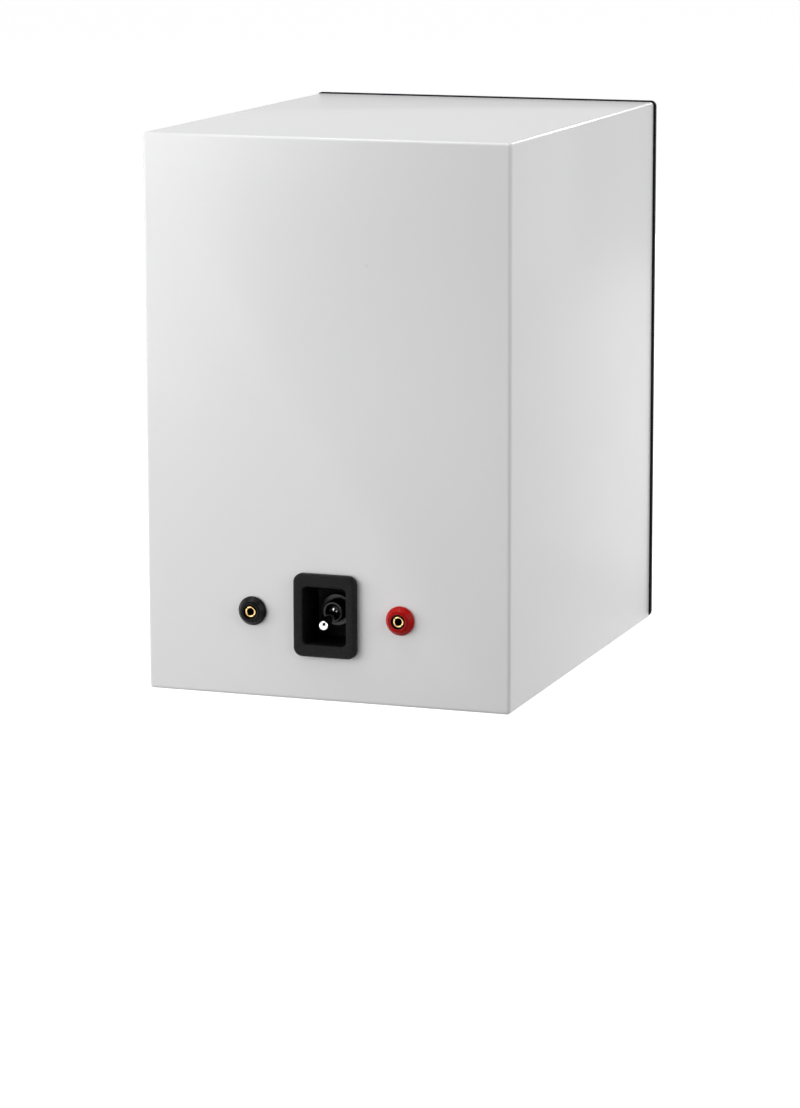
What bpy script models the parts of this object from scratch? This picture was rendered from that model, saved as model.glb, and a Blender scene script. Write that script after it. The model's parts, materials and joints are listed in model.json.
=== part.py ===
"""A sealed two-way bookshelf speaker: cabinet, grille, woofer, tweeter, crossover, rear switch and sockets.

Frame: metres, +Z up, origin at the middle of the underside. The front faces -Y and the rear faces +Y.
Driver depths run from the front face into the cabinet, and rear fittings are measured out of the rear face.
"""
from math import atan2, cos, degrees, hypot, pi, radians, sin

import bmesh
import bpy
from mathutils import Matrix, Vector

MM = 0.001
GAP = 0.3 * MM              # clearance between pieces that touch
MERGE = 0.002 * MM
CUT = 2 * MM                # how far a cutter runs past the face that it opens

# Facets round a full turn
FINE = 36
MEDIUM = 24
COARSE = 12
SCREW_SIDES = 12
CORNER_POINTS = 5           # points round one rounded corner
HEXAGON = 6
SHARP = 35                  # edges that turn by more than this many degrees stay sharp

# Cabinet
CABINET_W = 206 * MM
CABINET_H = 302 * MM
CABINET_D = 267 * MM
WALL = 15 * MM
BAFFLE_T = 18 * MM
EDGE_R = 2 * MM
EDGE_STEPS = 3
FRONT = -CABINET_D / 2
REAR = CABINET_D / 2
INNER_REAR = REAR - WALL

# Grille: a frame with moulded pegs, and the cloth stretched over it
GRILLE_T = 8 * MM
GRILLE_LIP = 0.65 * MM      # how far the cloth stands out past the cabinet's top and sides
GRILLE_LIFT = 0.4 * MM      # how far its lower edge stays above the underside
GRILLE_EDGE_R = 6 * MM
GRILLE_CORNER_R = 3.2 * MM
CORNER_SHRINK = 0.25        # share of the front edge's rounding that its corners lose
CLOTH_T = 0.6 * MM
BAR_W = 14 * MM
WINDOW_R = 12 * MM
PEG_R = 3.5 * MM
PEG_LENGTH = 9 * MM
PEG_INSET = 9 * MM          # from the cabinet's edges to a peg's axis
PEG_CUP_R = 5.2 * MM
PEG_CUP_DEPTH = 12 * MM

# Woofer
WOOFER_R = 83 * MM          # the basket's flange
WOOFER_FOOT = 15 * MM       # from the underside to the flange
WOOFER_FLANGE_T = 4 * MM
WOOFER_LIP = 8 * MM         # the flange's raised rim, outside the surround
SURROUND_SEAT = 3 * MM    # depth of the step that the surround is glued to
SURROUND_T = 0.9 * MM
SURROUND_FLANGE = 4 * MM
ROLL_W = 9 * MM
ROLL_STEPS = 4
BASKET_T = 2.5 * MM
BASKET_WINDOWS = 3          # each runs straight through, so it opens both sides
BASKET_WINDOW_W = 36 * MM
SPIDER_DEPTH = 46 * MM
SPIDER_R = 45 * MM
SPIDER_SEAT = 5 * MM
SPIDER_T = 1 * MM
SPIDER_WAVES = 2
SPIDER_WAVE_H = 1.4 * MM
BASKET_DEPTH = 60 * MM
CONE_EDGE_DEPTH = 4 * MM
CONE_NECK_DEPTH = 34 * MM
CONE_T = 1.2 * MM
CONE_FLARE = 4 * MM         # how far the cone's side bows away from a straight line
CONE_STEPS = 3
COIL_R = 19.2 * MM          # inside of the woofer's voice coil
COIL_T = 0.9 * MM
COIL_DEPTH = 68 * MM
COIL_CLEARANCE = 0.8 * MM
CAP_R = 25 * MM
CAP_H = 8 * MM
CAP_T = 1 * MM
PLATE_T = 6 * MM
PLATE_R = 41 * MM
MAGNET_R = 47 * MM
MAGNET_T = 17 * MM
YOKE_T = 5 * MM
YOKE_R = 44 * MM
WOOFER_SCREWS = 4
WOOFER_SCREW_TURN = 45

# Tweeter
TWEETER_R = 47 * MM
TWEETER_HEAD = 19 * MM      # from the top face to the faceplate
TWEETER_PLATE_T = 4 * MM
HORN_R = 27 * MM
HORN_STEPS = 3
DOME_R = 12.6 * MM
DOME_H = 6.5 * MM
DOME_T = 0.7 * MM
DOME_DEPTH = 4 * MM
DOME_STEPS = 4
TWEETER_SURROUND_W = 3 * MM
TWEETER_SURROUND_T = 0.6 * MM
TWEETER_COIL_T = 0.6 * MM
TWEETER_COIL_L = 6 * MM
TWEETER_MAGNET_R = 36 * MM
TWEETER_MAGNET_T = 12 * MM
TWEETER_STEEL_T = 3.5 * MM
TWEETER_SCREWS = 3
TWEETER_SCREW_TURN = 90

# Driver screws
SCREW_R = 1.8 * MM
SCREW_LENGTH = 16 * MM
SCREW_HEAD_R = 3.6 * MM
SCREW_HEAD_T = 2 * MM
SCREW_SIDE_H = 1.2 * MM     # upright side of the head, below its bevel
SCREW_TOP_R = 3.06 * MM
SCREW_SOCKET_R = 1.7 * MM
SCREW_SOCKET_DEPTH = 1.2 * MM
SCREW_INSET = 4.6 * MM      # from a flange's edge to a screw's axis

# Rear fittings
FITTING_Z = 47 * MM         # height of the switch and the sockets
SOCKET_SPACING = 84 * MM
SOCKET_BASE_R = 7.9 * MM
SOCKET_FACE_R = 5.1 * MM
SOCKET_H = 4.5 * MM
SOCKET_RIM = 0.7 * MM
SOCKET_WELL_R = 4 * MM
SOCKET_WELL_DEPTH = 1.6 * MM
SOCKET_SHANK_R = 4.8 * MM
SOCKET_SHANK_LENGTH = 24 * MM
TUBE_R = 3 * MM
TUBE_BORE_R = 2 * MM
TUBE_BORE_DEPTH = 18 * MM
TUBE_RECESS = 0.7 * MM
TUBE_TAIL = 4 * MM
TUBE_SLOT = 0.6 * MM
TUBE_SLOT_DEPTH = 7 * MM
SOCKET_NUT_R = 7.5 * MM
SOCKET_NUT_T = 3 * MM

# Switch cup
CUP_W = 35.6 * MM
CUP_H = 45.2 * MM
CUP_CORNER_R = 5 * MM
CUP_PROUD = 4 * MM
CUP_EDGE_R = 1.8 * MM
CUP_EDGE_STEPS = 3
CUP_MOUTH_W = 24.5 * MM
CUP_MOUTH_H = 31.4 * MM
CUP_MOUTH_R = 2.5 * MM
CUP_BEVEL = 0.6 * MM
CUP_DEPTH = 20 * MM
CUP_WALL = 2 * MM

# Toggle switch
BUSHING_R = 5.9 * MM
BUSHING_BORE_R = 4.2 * MM
BUSHING_FACE = 10 * MM      # how far its face lies inside the rear face
BUSHING_BORE_DEPTH = 10.5 * MM
NUT_FLATS = 14 * MM
NUT_T = 2.3 * MM
PIVOT_DEPTH = 5 * MM        # behind the bushing's face
LEVER_TILT = 14
LEVER_LENGTH = 22 * MM
LEVER_BALL_R = 3.6 * MM
LEVER_NECK_R = 1.9 * MM
LEVER_NECK_AT = 5.5 * MM
LEVER_TIP_R = 3.1 * MM
LEVER_TIP_STEPS = 4
SWITCH_W = 17 * MM
SWITCH_H = 28 * MM
SWITCH_D = 16 * MM

# Crossover
BOARD_W = 112 * MM
BOARD_H = 86 * MM
BOARD_T = 1.6 * MM
BOARD_Z = 128 * MM
BASS_COIL_R = 24 * MM
BASS_COIL_HOLE_R = 10 * MM
BASS_COIL_T = 20 * MM
TREBLE_COIL_R = 15 * MM
TREBLE_COIL_HOLE_R = 6 * MM
TREBLE_COIL_T = 14 * MM
CAPACITOR_R = 7 * MM
CAPACITOR_L = 32 * MM
RESISTOR_L = 46 * MM
RESISTOR_SIDE = 9 * MM
BOARD_MARGIN = 4 * MM

# Wadding and leads
WADDING_T = 80 * MM
WADDING_CLEARANCE = 4 * MM
WADDING_EDGE_R = 10 * MM
LEAD_R = 1.6 * MM
LEAD_CLEARANCE = 5 * MM     # from a lead's middle to the wall that it runs along
LEAD_STRAIGHT = 7 * MM      # how far a lead runs square to the face that it meets
LEAD_ROUNDS = 2
CORNER_CUT = 0.25           # share of each run that rounding a corner takes

WOOFER_Z = WOOFER_FOOT + WOOFER_R
TWEETER_Z = CABINET_H - TWEETER_HEAD - TWEETER_R
FLANGE_INNER_R = WOOFER_R - WOOFER_LIP - SURROUND_FLANGE
CONE_R = FLANGE_INNER_R - ROLL_W
WELL_R = FLANGE_INNER_R + BASKET_T
PIVOT_Y = REAR - BUSHING_FACE - PIVOT_DEPTH


# ---------------------------------------------------------------- helpers

def clear_scene():
    for ob in list(bpy.data.objects):
        bpy.data.objects.remove(ob, do_unlink=True)


def make_material(name, colour, roughness, metallic=0.0):
    mat = bpy.data.materials.new(name)
    mat.use_nodes = True
    shader = mat.node_tree.nodes["Principled BSDF"]
    shader.inputs["Base Color"].default_value = (*colour, 1.0)
    shader.inputs["Roughness"].default_value = roughness
    shader.inputs["Metallic"].default_value = metallic
    mat.diffuse_color = (*colour, 1.0)
    return mat


def link(name, data, mat=None, place=(0, 0, 0), parent=None):
    """Put an object in the scene at a world place, under an empty if it has one."""
    ob = bpy.data.objects.new(name, data)
    bpy.context.scene.collection.objects.link(ob)
    ob.location = place
    if mat:
        ob.data.materials.append(mat)
    if parent:
        ob.parent = parent
        ob.location = Vector(place) - parent.location
    return ob


def axis_empty(name, place):
    ob = link(name, None, place=place)
    ob.empty_display_size = 10 * MM
    return ob


def finish_mesh(name, bm, smooth=True):
    """Close a bmesh, face it outward and turn it into a mesh."""
    bmesh.ops.remove_doubles(bm, verts=bm.verts, dist=MERGE)
    bmesh.ops.recalc_face_normals(bm, faces=bm.faces)
    mesh = bpy.data.meshes.new(name)
    bm.to_mesh(mesh)
    bm.free()
    if smooth:
        mesh.shade_smooth()
        mesh.set_sharp_from_angle(angle=radians(SHARP))
    return mesh


def box_bmesh(low, high):
    bm = bmesh.new()
    size = Vector(high) - Vector(low)
    middle = (Vector(high) + Vector(low)) / 2
    bmesh.ops.create_cube(bm, size=1, matrix=Matrix.Translation(middle) @ Matrix.Diagonal((*size, 1)))
    return bm


def box_mesh(name, low, high, rounded=None, radius=EDGE_R, steps=EDGE_STEPS):
    """A box whose edges are rounded where rounded(middle, direction) is true."""
    bm = box_bmesh(low, high)
    if rounded:
        edges = []
        for edge in bm.edges:
            first, second = (v.co for v in edge.verts)
            if rounded((first + second) / 2, (second - first).normalized()):
                edges.append(edge)
        bmesh.ops.bevel(bm, geom=edges, offset=radius, segments=steps, profile=0.5,
                        affect="EDGES", material=-1)
    return finish_mesh(name, bm)


def turned_mesh(name, outline, sides):
    """Turn an outline of (radius, depth) points about Y. It closes unless it starts and ends on the axis."""
    bm = bmesh.new()
    verts = [bm.verts.new((radius, depth, 0)) for radius, depth in outline]
    edges = [bm.edges.new(pair) for pair in zip(verts, verts[1:])]
    if outline[0][0] > MERGE or outline[-1][0] > MERGE:
        edges.append(bm.edges.new((verts[-1], verts[0])))
    bmesh.ops.spin(bm, geom=verts + edges, cent=(0, 0, 0), axis=(0, 1, 0), angle=2 * pi,
                   steps=sides, use_merge=True)
    return finish_mesh(name, bm)


def lofted_mesh(name, rings, ring_shaped=False):
    """Extrude a loop through rings of equal point counts, and cap both ends or join the last ring to the first."""
    bm = bmesh.new()
    order = bm.verts.layers.int.new("order")
    verts = bmesh.ops.create_circle(bm, segments=len(rings[0]), radius=1)["verts"]
    for number, v in enumerate(verts):
        v[order] = number
        v.co = rings[0][number]
    edges = bm.edges[:]
    first = edges
    for ring in rings[1:] + rings[:1] * ring_shaped:
        made = bmesh.ops.extrude_edge_only(bm, edges=edges)["geom"]
        moved = {item for item in made if isinstance(item, bmesh.types.BMVert)}
        edges = [item for item in made if isinstance(item, bmesh.types.BMEdge) and moved.issuperset(item.verts)]
        for v in moved:
            v.co = ring[v[order]]
    if not ring_shaped:
        bmesh.ops.holes_fill(bm, edges=first + edges, sides=0)
    return finish_mesh(name, bm)


def corner_ring(width, height, radius, depth):
    """Points of a rectangle with rounded corners, square to Y."""
    points = []
    for corner, (side_x, side_z) in enumerate(((1, 1), (-1, 1), (-1, -1), (1, -1))):
        for step in range(CORNER_POINTS):
            angle = (corner + step / (CORNER_POINTS - 1)) * pi / 2
            x = side_x * (width / 2 - radius) + radius * cos(angle)
            z = side_z * (height / 2 - radius) + radius * sin(angle)
            points.append((x, depth, z))
    return points


def around(count, radius, turn=0):
    """Places (x, z) evenly round a circle, from an angle in degrees."""
    return [(radius * cos(radians(turn) + 2 * pi * i / count),
             radius * sin(radians(turn) + 2 * pi * i / count)) for i in range(count)]


def cut(ob, mesh, place=(0, 0, 0), turn=0):
    """Take a cutter's shape out of an object. turn is about Y, in degrees."""
    cutter = link(ob.name + ".cutter", mesh, place=place)
    cutter.rotation_euler = (0, radians(turn), 0)
    cutter.hide_render = True
    cutter.display_type = "WIRE"
    modifier = ob.modifiers.new("cut", "BOOLEAN")
    modifier.operation = "DIFFERENCE"
    modifier.solver = "EXACT"
    modifier.object = cutter


def rod_mesh(name, radius, low, high, sides=COARSE):
    return turned_mesh(name, [(0, low), (radius, low), (radius, high), (0, high)], sides)


# ---------------------------------------------------------------- materials

def make_materials():
    return {
        "lacquer": make_material("white_lacquer", (0.85, 0.85, 0.84), 0.3),
        "cloth": make_material("black_cloth", (0.012, 0.012, 0.013), 0.95),
        "frame": make_material("frame_plastic", (0.02, 0.02, 0.02), 0.5),
        "cast": make_material("cast_metal", (0.05, 0.05, 0.055), 0.45, 0.6),
        "cone": make_material("cone_pulp", (0.03, 0.03, 0.032), 0.7),
        "rubber": make_material("black_rubber", (0.015, 0.015, 0.015), 0.6),
        "spider": make_material("spider_fabric", (0.55, 0.4, 0.18), 0.9),
        "copper": make_material("copper_wire", (0.72, 0.33, 0.15), 0.3, 1.0),
        "steel": make_material("plated_steel", (0.6, 0.6, 0.6), 0.3, 1.0),
        "ferrite": make_material("ferrite", (0.07, 0.07, 0.075), 0.6),
        "dome": make_material("silk_dome", (0.02, 0.02, 0.022), 0.7),
        "plastic": make_material("cup_plastic", (0.025, 0.025, 0.026), 0.45),
        "red": make_material("red_plastic", (0.55, 0.01, 0.01), 0.3),
        "black": make_material("black_plastic", (0.015, 0.015, 0.015), 0.3),
        "gold": make_material("gold_plate", (0.9, 0.62, 0.25), 0.2, 1.0),
        "chrome": make_material("chrome", (0.75, 0.76, 0.78), 0.08, 1.0),
        "nickel": make_material("black_nickel", (0.08, 0.08, 0.08), 0.3, 1.0),
        "board": make_material("circuit_board", (0.02, 0.12, 0.05), 0.4),
        "capacitor": make_material("capacitor_film", (0.75, 0.55, 0.08), 0.35),
        "resistor": make_material("resistor_ceramic", (0.8, 0.78, 0.72), 0.7),
        "wadding": make_material("wadding", (0.8, 0.8, 0.78), 1.0),
        "lead": make_material("lead_sleeve", (0.05, 0.05, 0.05), 0.4),
    }


# ---------------------------------------------------------------- cabinet

def panel_places():
    """Lowest and highest corners of each panel. The baffle and the rear panel close the ends of the other four."""
    half_w = CABINET_W / 2
    inner_w = half_w - WALL
    start = FRONT + BAFFLE_T + GAP
    end = INNER_REAR - GAP
    return {
        "left_panel": ((-half_w, start, 0), (-inner_w, end, CABINET_H)),
        "right_panel": ((inner_w, start, 0), (half_w, end, CABINET_H)),
        "top_panel": ((-inner_w + GAP, start, CABINET_H - WALL), (inner_w - GAP, end, CABINET_H)),
        "bottom_panel": ((-inner_w + GAP, start, 0), (inner_w - GAP, end, WALL)),
        "rear_panel": ((-half_w, INNER_REAR, 0), (half_w, REAR, CABINET_H)),
        "front_baffle": ((-half_w, FRONT, 0), (half_w, FRONT + BAFFLE_T, CABINET_H)),
    }


def build_cabinet(mats):
    half_w = CABINET_W / 2

    def on_side(middle):
        return abs(abs(middle.x) - half_w) < MERGE

    def on_end(middle):
        return middle.z < MERGE or middle.z > CABINET_H - MERGE

    def long_edge(middle, direction):
        return on_side(middle) and on_end(middle)

    def end_edge(middle, direction):
        at_face = abs(abs(middle.y) - REAR) < MERGE
        return at_face or long_edge(middle, direction)

    rounding = {"left_panel": long_edge, "right_panel": long_edge, "top_panel": None,
                "bottom_panel": None, "rear_panel": end_edge, "front_baffle": end_edge}
    panels = {}
    for name, (low, high) in panel_places().items():
        mesh = box_mesh(name, low, high, rounding[name])
        panels[name] = link(name, mesh, mats["lacquer"])
    return panels


def cut_baffle(baffle):
    """Rebates and holes for the drivers, pilot holes for their screws and sockets for the grille's pegs."""
    rebate = {"woofer": (WOOFER_R, WOOFER_FLANGE_T, WELL_R, WOOFER_Z),
              "tweeter": (TWEETER_R, TWEETER_PLATE_T, TWEETER_MAGNET_R, TWEETER_Z)}
    for driver, (flange_r, flange_t, hole_r, height) in rebate.items():
        floor = GAP + flange_t + GAP
        outline = [(0, -CUT), (flange_r + GAP, -CUT), (flange_r + GAP, floor),
                   (hole_r + 2 * GAP, floor), (hole_r + 2 * GAP, BAFFLE_T + CUT), (0, BAFFLE_T + CUT)]
        cut(baffle, turned_mesh(driver + "_hole", outline, FINE), (0, FRONT, height))
    for x, z in peg_places():
        cut(baffle, rod_mesh("peg_hole", PEG_CUP_R + GAP, -CUT, GAP + PEG_CUP_DEPTH + GAP), (x, FRONT, z))
    for x, z in screw_places():
        cut(baffle, rod_mesh("pilot_hole", SCREW_R + GAP, 0, SCREW_LENGTH + GAP, SCREW_SIDES), (x, FRONT, z))


def cut_rear_panel(panel):
    hole_w = CUP_MOUTH_W + 2 * (CUP_WALL + GAP)
    hole_h = CUP_MOUTH_H + 2 * (CUP_WALL + GAP)
    corner_r = CUP_MOUTH_R + CUP_WALL + GAP
    rings = [corner_ring(hole_w, hole_h, corner_r, depth) for depth in (INNER_REAR - CUT, REAR + CUT)]
    cut(panel, lofted_mesh("cup_hole", rings), (0, 0, FITTING_Z))
    for x in (-SOCKET_SPACING / 2, SOCKET_SPACING / 2):
        hole = rod_mesh("socket_hole", SOCKET_SHANK_R + GAP, -WALL - CUT, CUT)
        cut(panel, hole, (x, REAR, FITTING_Z))


# ---------------------------------------------------------------- grille

def peg_places():
    x = CABINET_W / 2 - PEG_INSET
    return [(side * x, z) for side in (-1, 1) for z in (PEG_INSET, CABINET_H - PEG_INSET)]


def grille_size(inset):
    """Width, height and middle height of the grille's outline, drawn in by inset on every side."""
    low = GRILLE_LIFT
    high = CABINET_H + GRILLE_LIP
    width = CABINET_W + 2 * GRILLE_LIP - 2 * inset
    return width, high - low - 2 * inset, (high + low) / 2


def grille_rings(inset, depth, radius, width, height):
    """Rings from the back of the grille, round its edge, to the front face."""
    rings = [corner_ring(width, height, GRILLE_CORNER_R - inset, -GAP)]
    for step in range(CORNER_POINTS):
        angle = step / (CORNER_POINTS - 1) * pi / 2
        shrink = radius * (1 - cos(angle))
        y = -depth + radius * (1 - sin(angle))
        rings.append(corner_ring(width - 2 * shrink, height - 2 * shrink,
                                 GRILLE_CORNER_R - inset - shrink * CORNER_SHRINK, y))
    return rings


def window_places():
    """Lowest and highest (x, z) of the frame's two windows: one over each driver."""
    half_w = CABINET_W / 2 - BAR_W
    split = (WOOFER_Z + WOOFER_R + TWEETER_Z - TWEETER_R) / 2
    return [((-half_w, BAR_W), (half_w, split - BAR_W / 2)),
            ((-half_w, split + BAR_W / 2), (half_w, CABINET_H - BAR_W))]


def build_grille(mats):
    axis = axis_empty("grille_axis", (0, FRONT, CABINET_H / 2))
    width, height, middle = grille_size(0)
    outer = grille_rings(0, GRILLE_T, GRILLE_EDGE_R, width, height)
    width, height, middle = grille_size(CLOTH_T)
    inner = grille_rings(CLOTH_T, GRILLE_T - CLOTH_T, GRILLE_EDGE_R - CLOTH_T, width, height)
    cloth = lofted_mesh("grille_cloth", inner[::-1] + outer)
    link("grille_cloth", cloth, mats["cloth"], (0, FRONT, middle), axis)

    inset = CLOTH_T + GAP
    width, height, middle = grille_size(inset)
    rings = grille_rings(inset, GRILLE_T - inset, GRILLE_EDGE_R - inset, width, height)
    frame = link("grille_frame", lofted_mesh("grille_frame", rings), mats["frame"], (0, FRONT, middle), axis)
    for low, high in window_places():
        size = (high[0] - low[0], high[1] - low[1], WINDOW_R)
        rings = [corner_ring(*size, depth) for depth in (-GRILLE_T - CUT, CUT)]
        cut(frame, lofted_mesh("window", rings), (0, FRONT, (low[1] + high[1]) / 2))
    for x, z in peg_places():
        peg = link("grille_frame.peg", rod_mesh("peg", PEG_R, -2 * GAP - CUT, PEG_LENGTH), place=(x, FRONT, z))
        peg.hide_render = True
        peg.display_type = "WIRE"
        modifier = frame.modifiers.new("peg", "BOOLEAN")
        modifier.operation = "UNION"
        modifier.solver = "EXACT"
        modifier.object = peg

    bore = PEG_R + GAP
    outline = [(0, PEG_CUP_DEPTH), (PEG_CUP_R, PEG_CUP_DEPTH), (PEG_CUP_R, GAP),
               (bore, GAP), (bore, PEG_LENGTH + GAP), (0, PEG_LENGTH + GAP)]
    mesh = turned_mesh("grille_cup", outline, COARSE)
    mesh.materials.append(mats["rubber"])
    for number, (x, z) in enumerate(peg_places(), 1):
        link(f"grille_cup_{number}", mesh, place=(x, FRONT, z))


# ---------------------------------------------------------------- screws

def screw_places():
    woofer = around(WOOFER_SCREWS, WOOFER_R - SCREW_INSET, WOOFER_SCREW_TURN)
    tweeter = around(TWEETER_SCREWS, TWEETER_R - SCREW_INSET, TWEETER_SCREW_TURN)
    return [(x, WOOFER_Z + z) for x, z in woofer] + [(x, TWEETER_Z + z) for x, z in tweeter]


def circle_ring(radius, depth, sides, flats=0):
    """Points round a circle, or along the sides of a polygon with that many flats."""
    points = []
    for i in range(sides):
        angle = 2 * pi * i / sides
        reach = radius
        if flats:
            within = (angle % (2 * pi / flats)) - pi / flats
            reach = radius * cos(pi / flats) / cos(within)
        points.append((reach * cos(angle), depth, reach * sin(angle)))
    return points


def build_screws(mats):
    """Pan-head screws with a hexagon socket, standing on the flanges' front faces."""
    rings = [
        circle_ring(SCREW_R, SCREW_LENGTH, SCREW_SIDES),
        circle_ring(SCREW_R, 0, SCREW_SIDES),
        circle_ring(SCREW_HEAD_R, 0, SCREW_SIDES),
        circle_ring(SCREW_HEAD_R, -SCREW_SIDE_H, SCREW_SIDES),
        circle_ring(SCREW_TOP_R, -SCREW_HEAD_T, SCREW_SIDES),
        circle_ring(SCREW_SOCKET_R, -SCREW_HEAD_T, SCREW_SIDES, HEXAGON),
        circle_ring(SCREW_SOCKET_R, SCREW_SOCKET_DEPTH - SCREW_HEAD_T, SCREW_SIDES, HEXAGON),
    ]
    mesh = lofted_mesh("driver_screw", rings)
    mesh.materials.append(mats["steel"])
    for number, (x, z) in enumerate(screw_places(), 1):
        woofer = number <= WOOFER_SCREWS
        name = f"woofer_screw_{number}" if woofer else f"tweeter_screw_{number - WOOFER_SCREWS}"
        link(name, mesh, place=(x, FRONT, z))


# ---------------------------------------------------------------- woofer

def strip(points, thickness):
    """Outline of a thin strip: its points, then the same points moved on by the thickness in depth."""
    return points + [(radius, depth + thickness) for radius, depth in reversed(points)]


def basket_outline():
    """The flange, the step for the surround, the sloping side, the spider's shelf and the end plate."""
    shelf = SPIDER_DEPTH + SPIDER_T + 2 * GAP
    side_r = SPIDER_R + GAP
    pot_r = SPIDER_R - SPIDER_SEAT
    bottom = BASKET_DEPTH - BASKET_T
    hole_r = COIL_R + COIL_T + COIL_CLEARANCE
    flange_back = GAP + WOOFER_FLANGE_T
    return [
        (WOOFER_R, GAP), (WOOFER_R, flange_back), (WELL_R, flange_back),
        (side_r + BASKET_T, SPIDER_DEPTH), (side_r + BASKET_T, shelf + BASKET_T),
        (pot_r + BASKET_T, shelf + BASKET_T), (pot_r + BASKET_T, BASKET_DEPTH), (hole_r, BASKET_DEPTH),
        (hole_r, bottom), (pot_r, bottom), (pot_r, shelf), (side_r, shelf), (side_r, SPIDER_DEPTH),
        (FLANGE_INNER_R, flange_back), (FLANGE_INNER_R, SURROUND_SEAT),
        (WOOFER_R - WOOFER_LIP, SURROUND_SEAT), (WOOFER_R - WOOFER_LIP, GAP),
    ]


def surround_outline():
    """A flat outer flange and a half roll that stands forward, down to the edge of the cone."""
    seat = SURROUND_SEAT - GAP - SURROUND_T
    outer = WOOFER_R - WOOFER_LIP - GAP
    inner = CONE_R + GAP
    roll_r = (FLANGE_INNER_R - inner) / 2
    middle = (FLANGE_INNER_R + inner) / 2
    front = [(outer, seat)]
    back = [(outer, seat + SURROUND_T)]
    for step in range(ROLL_STEPS + 1):
        angle = step / ROLL_STEPS * pi
        front.append((middle + roll_r * cos(angle), seat - roll_r * sin(angle)))
        inside = roll_r - SURROUND_T * sin(angle)
        back.append((middle + inside * cos(angle), seat + SURROUND_T - inside * sin(angle)))
    front[-1] = (inner, seat)
    back[-1] = (inner, CONE_EDGE_DEPTH)
    return front + back[::-1]


def cone_depth(radius):
    """Depth of the cone's front face: from its edge to its neck, bowed like a paper cone."""
    neck = COIL_R + COIL_T + GAP
    share = (CONE_R - radius) / (CONE_R - neck)
    straight = CONE_EDGE_DEPTH + share * (CONE_NECK_DEPTH - CONE_EDGE_DEPTH)
    return straight - CONE_FLARE * sin(pi * share)


def build_woofer(mats):
    seat = (0, FRONT, WOOFER_Z)
    moving = axis_empty("woofer_axis", seat)
    flange = turned_mesh("woofer_basket", basket_outline(), FINE)
    basket = link("woofer_basket", flange, mats["cast"], seat)
    low = WOOFER_FLANGE_T + 2 * BASKET_T
    high = SPIDER_DEPTH - 2 * BASKET_T
    for number in range(BASKET_WINDOWS):
        bm = box_bmesh((-WOOFER_R, low, -BASKET_WINDOW_W / 2), (WOOFER_R, high, BASKET_WINDOW_W / 2))
        cut(basket, finish_mesh("basket_window", bm, False), seat, number * 180 / BASKET_WINDOWS)
    for x, z in around(WOOFER_SCREWS, WOOFER_R - SCREW_INSET, WOOFER_SCREW_TURN):
        hole = rod_mesh("flange_hole", SCREW_R + GAP, -CUT, WOOFER_FLANGE_T + CUT, SCREW_SIDES)
        cut(basket, hole, (x, FRONT, WOOFER_Z + z))

    link("woofer_surround", turned_mesh("woofer_surround", surround_outline(), FINE), mats["rubber"], seat)

    neck = COIL_R + COIL_T + GAP
    radii = [CONE_R + (neck - CONE_R) * step / CONE_STEPS for step in range(CONE_STEPS + 1)]
    outline = strip([(radius, cone_depth(radius)) for radius in radii], CONE_T)
    link("woofer_cone", turned_mesh("woofer_cone", outline, FINE), mats["cone"], seat, moving)

    cap_base = cone_depth(CAP_R) - 2 * GAP - CAP_T
    dome = [(CAP_R * cos(a), cap_base - CAP_H * sin(a))
            for a in (step / DOME_STEPS * pi / 2 for step in range(DOME_STEPS))]
    dome.append((0, cap_base - CAP_H))
    outline = dome[::-1] + [(radius, depth + CAP_T) for radius, depth in dome]
    link("woofer_dust_cap", turned_mesh("woofer_dust_cap", outline, MEDIUM), mats["cone"], seat, moving)

    coil = [(COIL_R, CONE_NECK_DEPTH), (COIL_R + COIL_T, CONE_NECK_DEPTH),
            (COIL_R + COIL_T, COIL_DEPTH), (COIL_R, COIL_DEPTH)]
    link("woofer_voice_coil", turned_mesh("woofer_voice_coil", coil, MEDIUM), mats["copper"], seat, moving)

    inner = COIL_R + COIL_T + GAP
    steps = 2 * SPIDER_WAVES
    spider = []
    for step in range(steps + 1):
        radius = inner + (SPIDER_R - inner - SPIDER_SEAT) * step / steps
        rise = SPIDER_WAVE_H * (step % 2)
        spider.append((radius, SPIDER_DEPTH - rise + GAP))
    spider.append((SPIDER_R, SPIDER_DEPTH + GAP))
    link("woofer_spider", turned_mesh("woofer_spider", strip(spider, SPIDER_T), MEDIUM), mats["spider"], seat)

    gap_r = COIL_R + COIL_T + COIL_CLEARANCE
    front = BASKET_DEPTH + GAP
    plate = [(gap_r, front), (PLATE_R, front), (PLATE_R, front + PLATE_T), (gap_r, front + PLATE_T)]
    link("woofer_top_plate", turned_mesh("woofer_top_plate", plate, FINE), mats["steel"], seat)
    magnet_front = front + PLATE_T + GAP
    magnet_back = magnet_front + MAGNET_T
    hole_r = gap_r + 2 * COIL_CLEARANCE
    magnet = [(hole_r, magnet_front), (MAGNET_R, magnet_front), (MAGNET_R, magnet_back), (hole_r, magnet_back)]
    link("woofer_magnet", turned_mesh("woofer_magnet", magnet, FINE), mats["ferrite"], seat)
    pole_r = COIL_R - COIL_CLEARANCE
    yoke_front = magnet_back + GAP
    yoke = [(0, front), (pole_r, front), (pole_r, yoke_front), (YOKE_R, yoke_front),
            (YOKE_R, yoke_front + YOKE_T), (0, yoke_front + YOKE_T)]
    link("woofer_yoke", turned_mesh("woofer_yoke", yoke, FINE), mats["steel"], seat)
    return yoke_front + YOKE_T


# ---------------------------------------------------------------- tweeter

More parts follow.
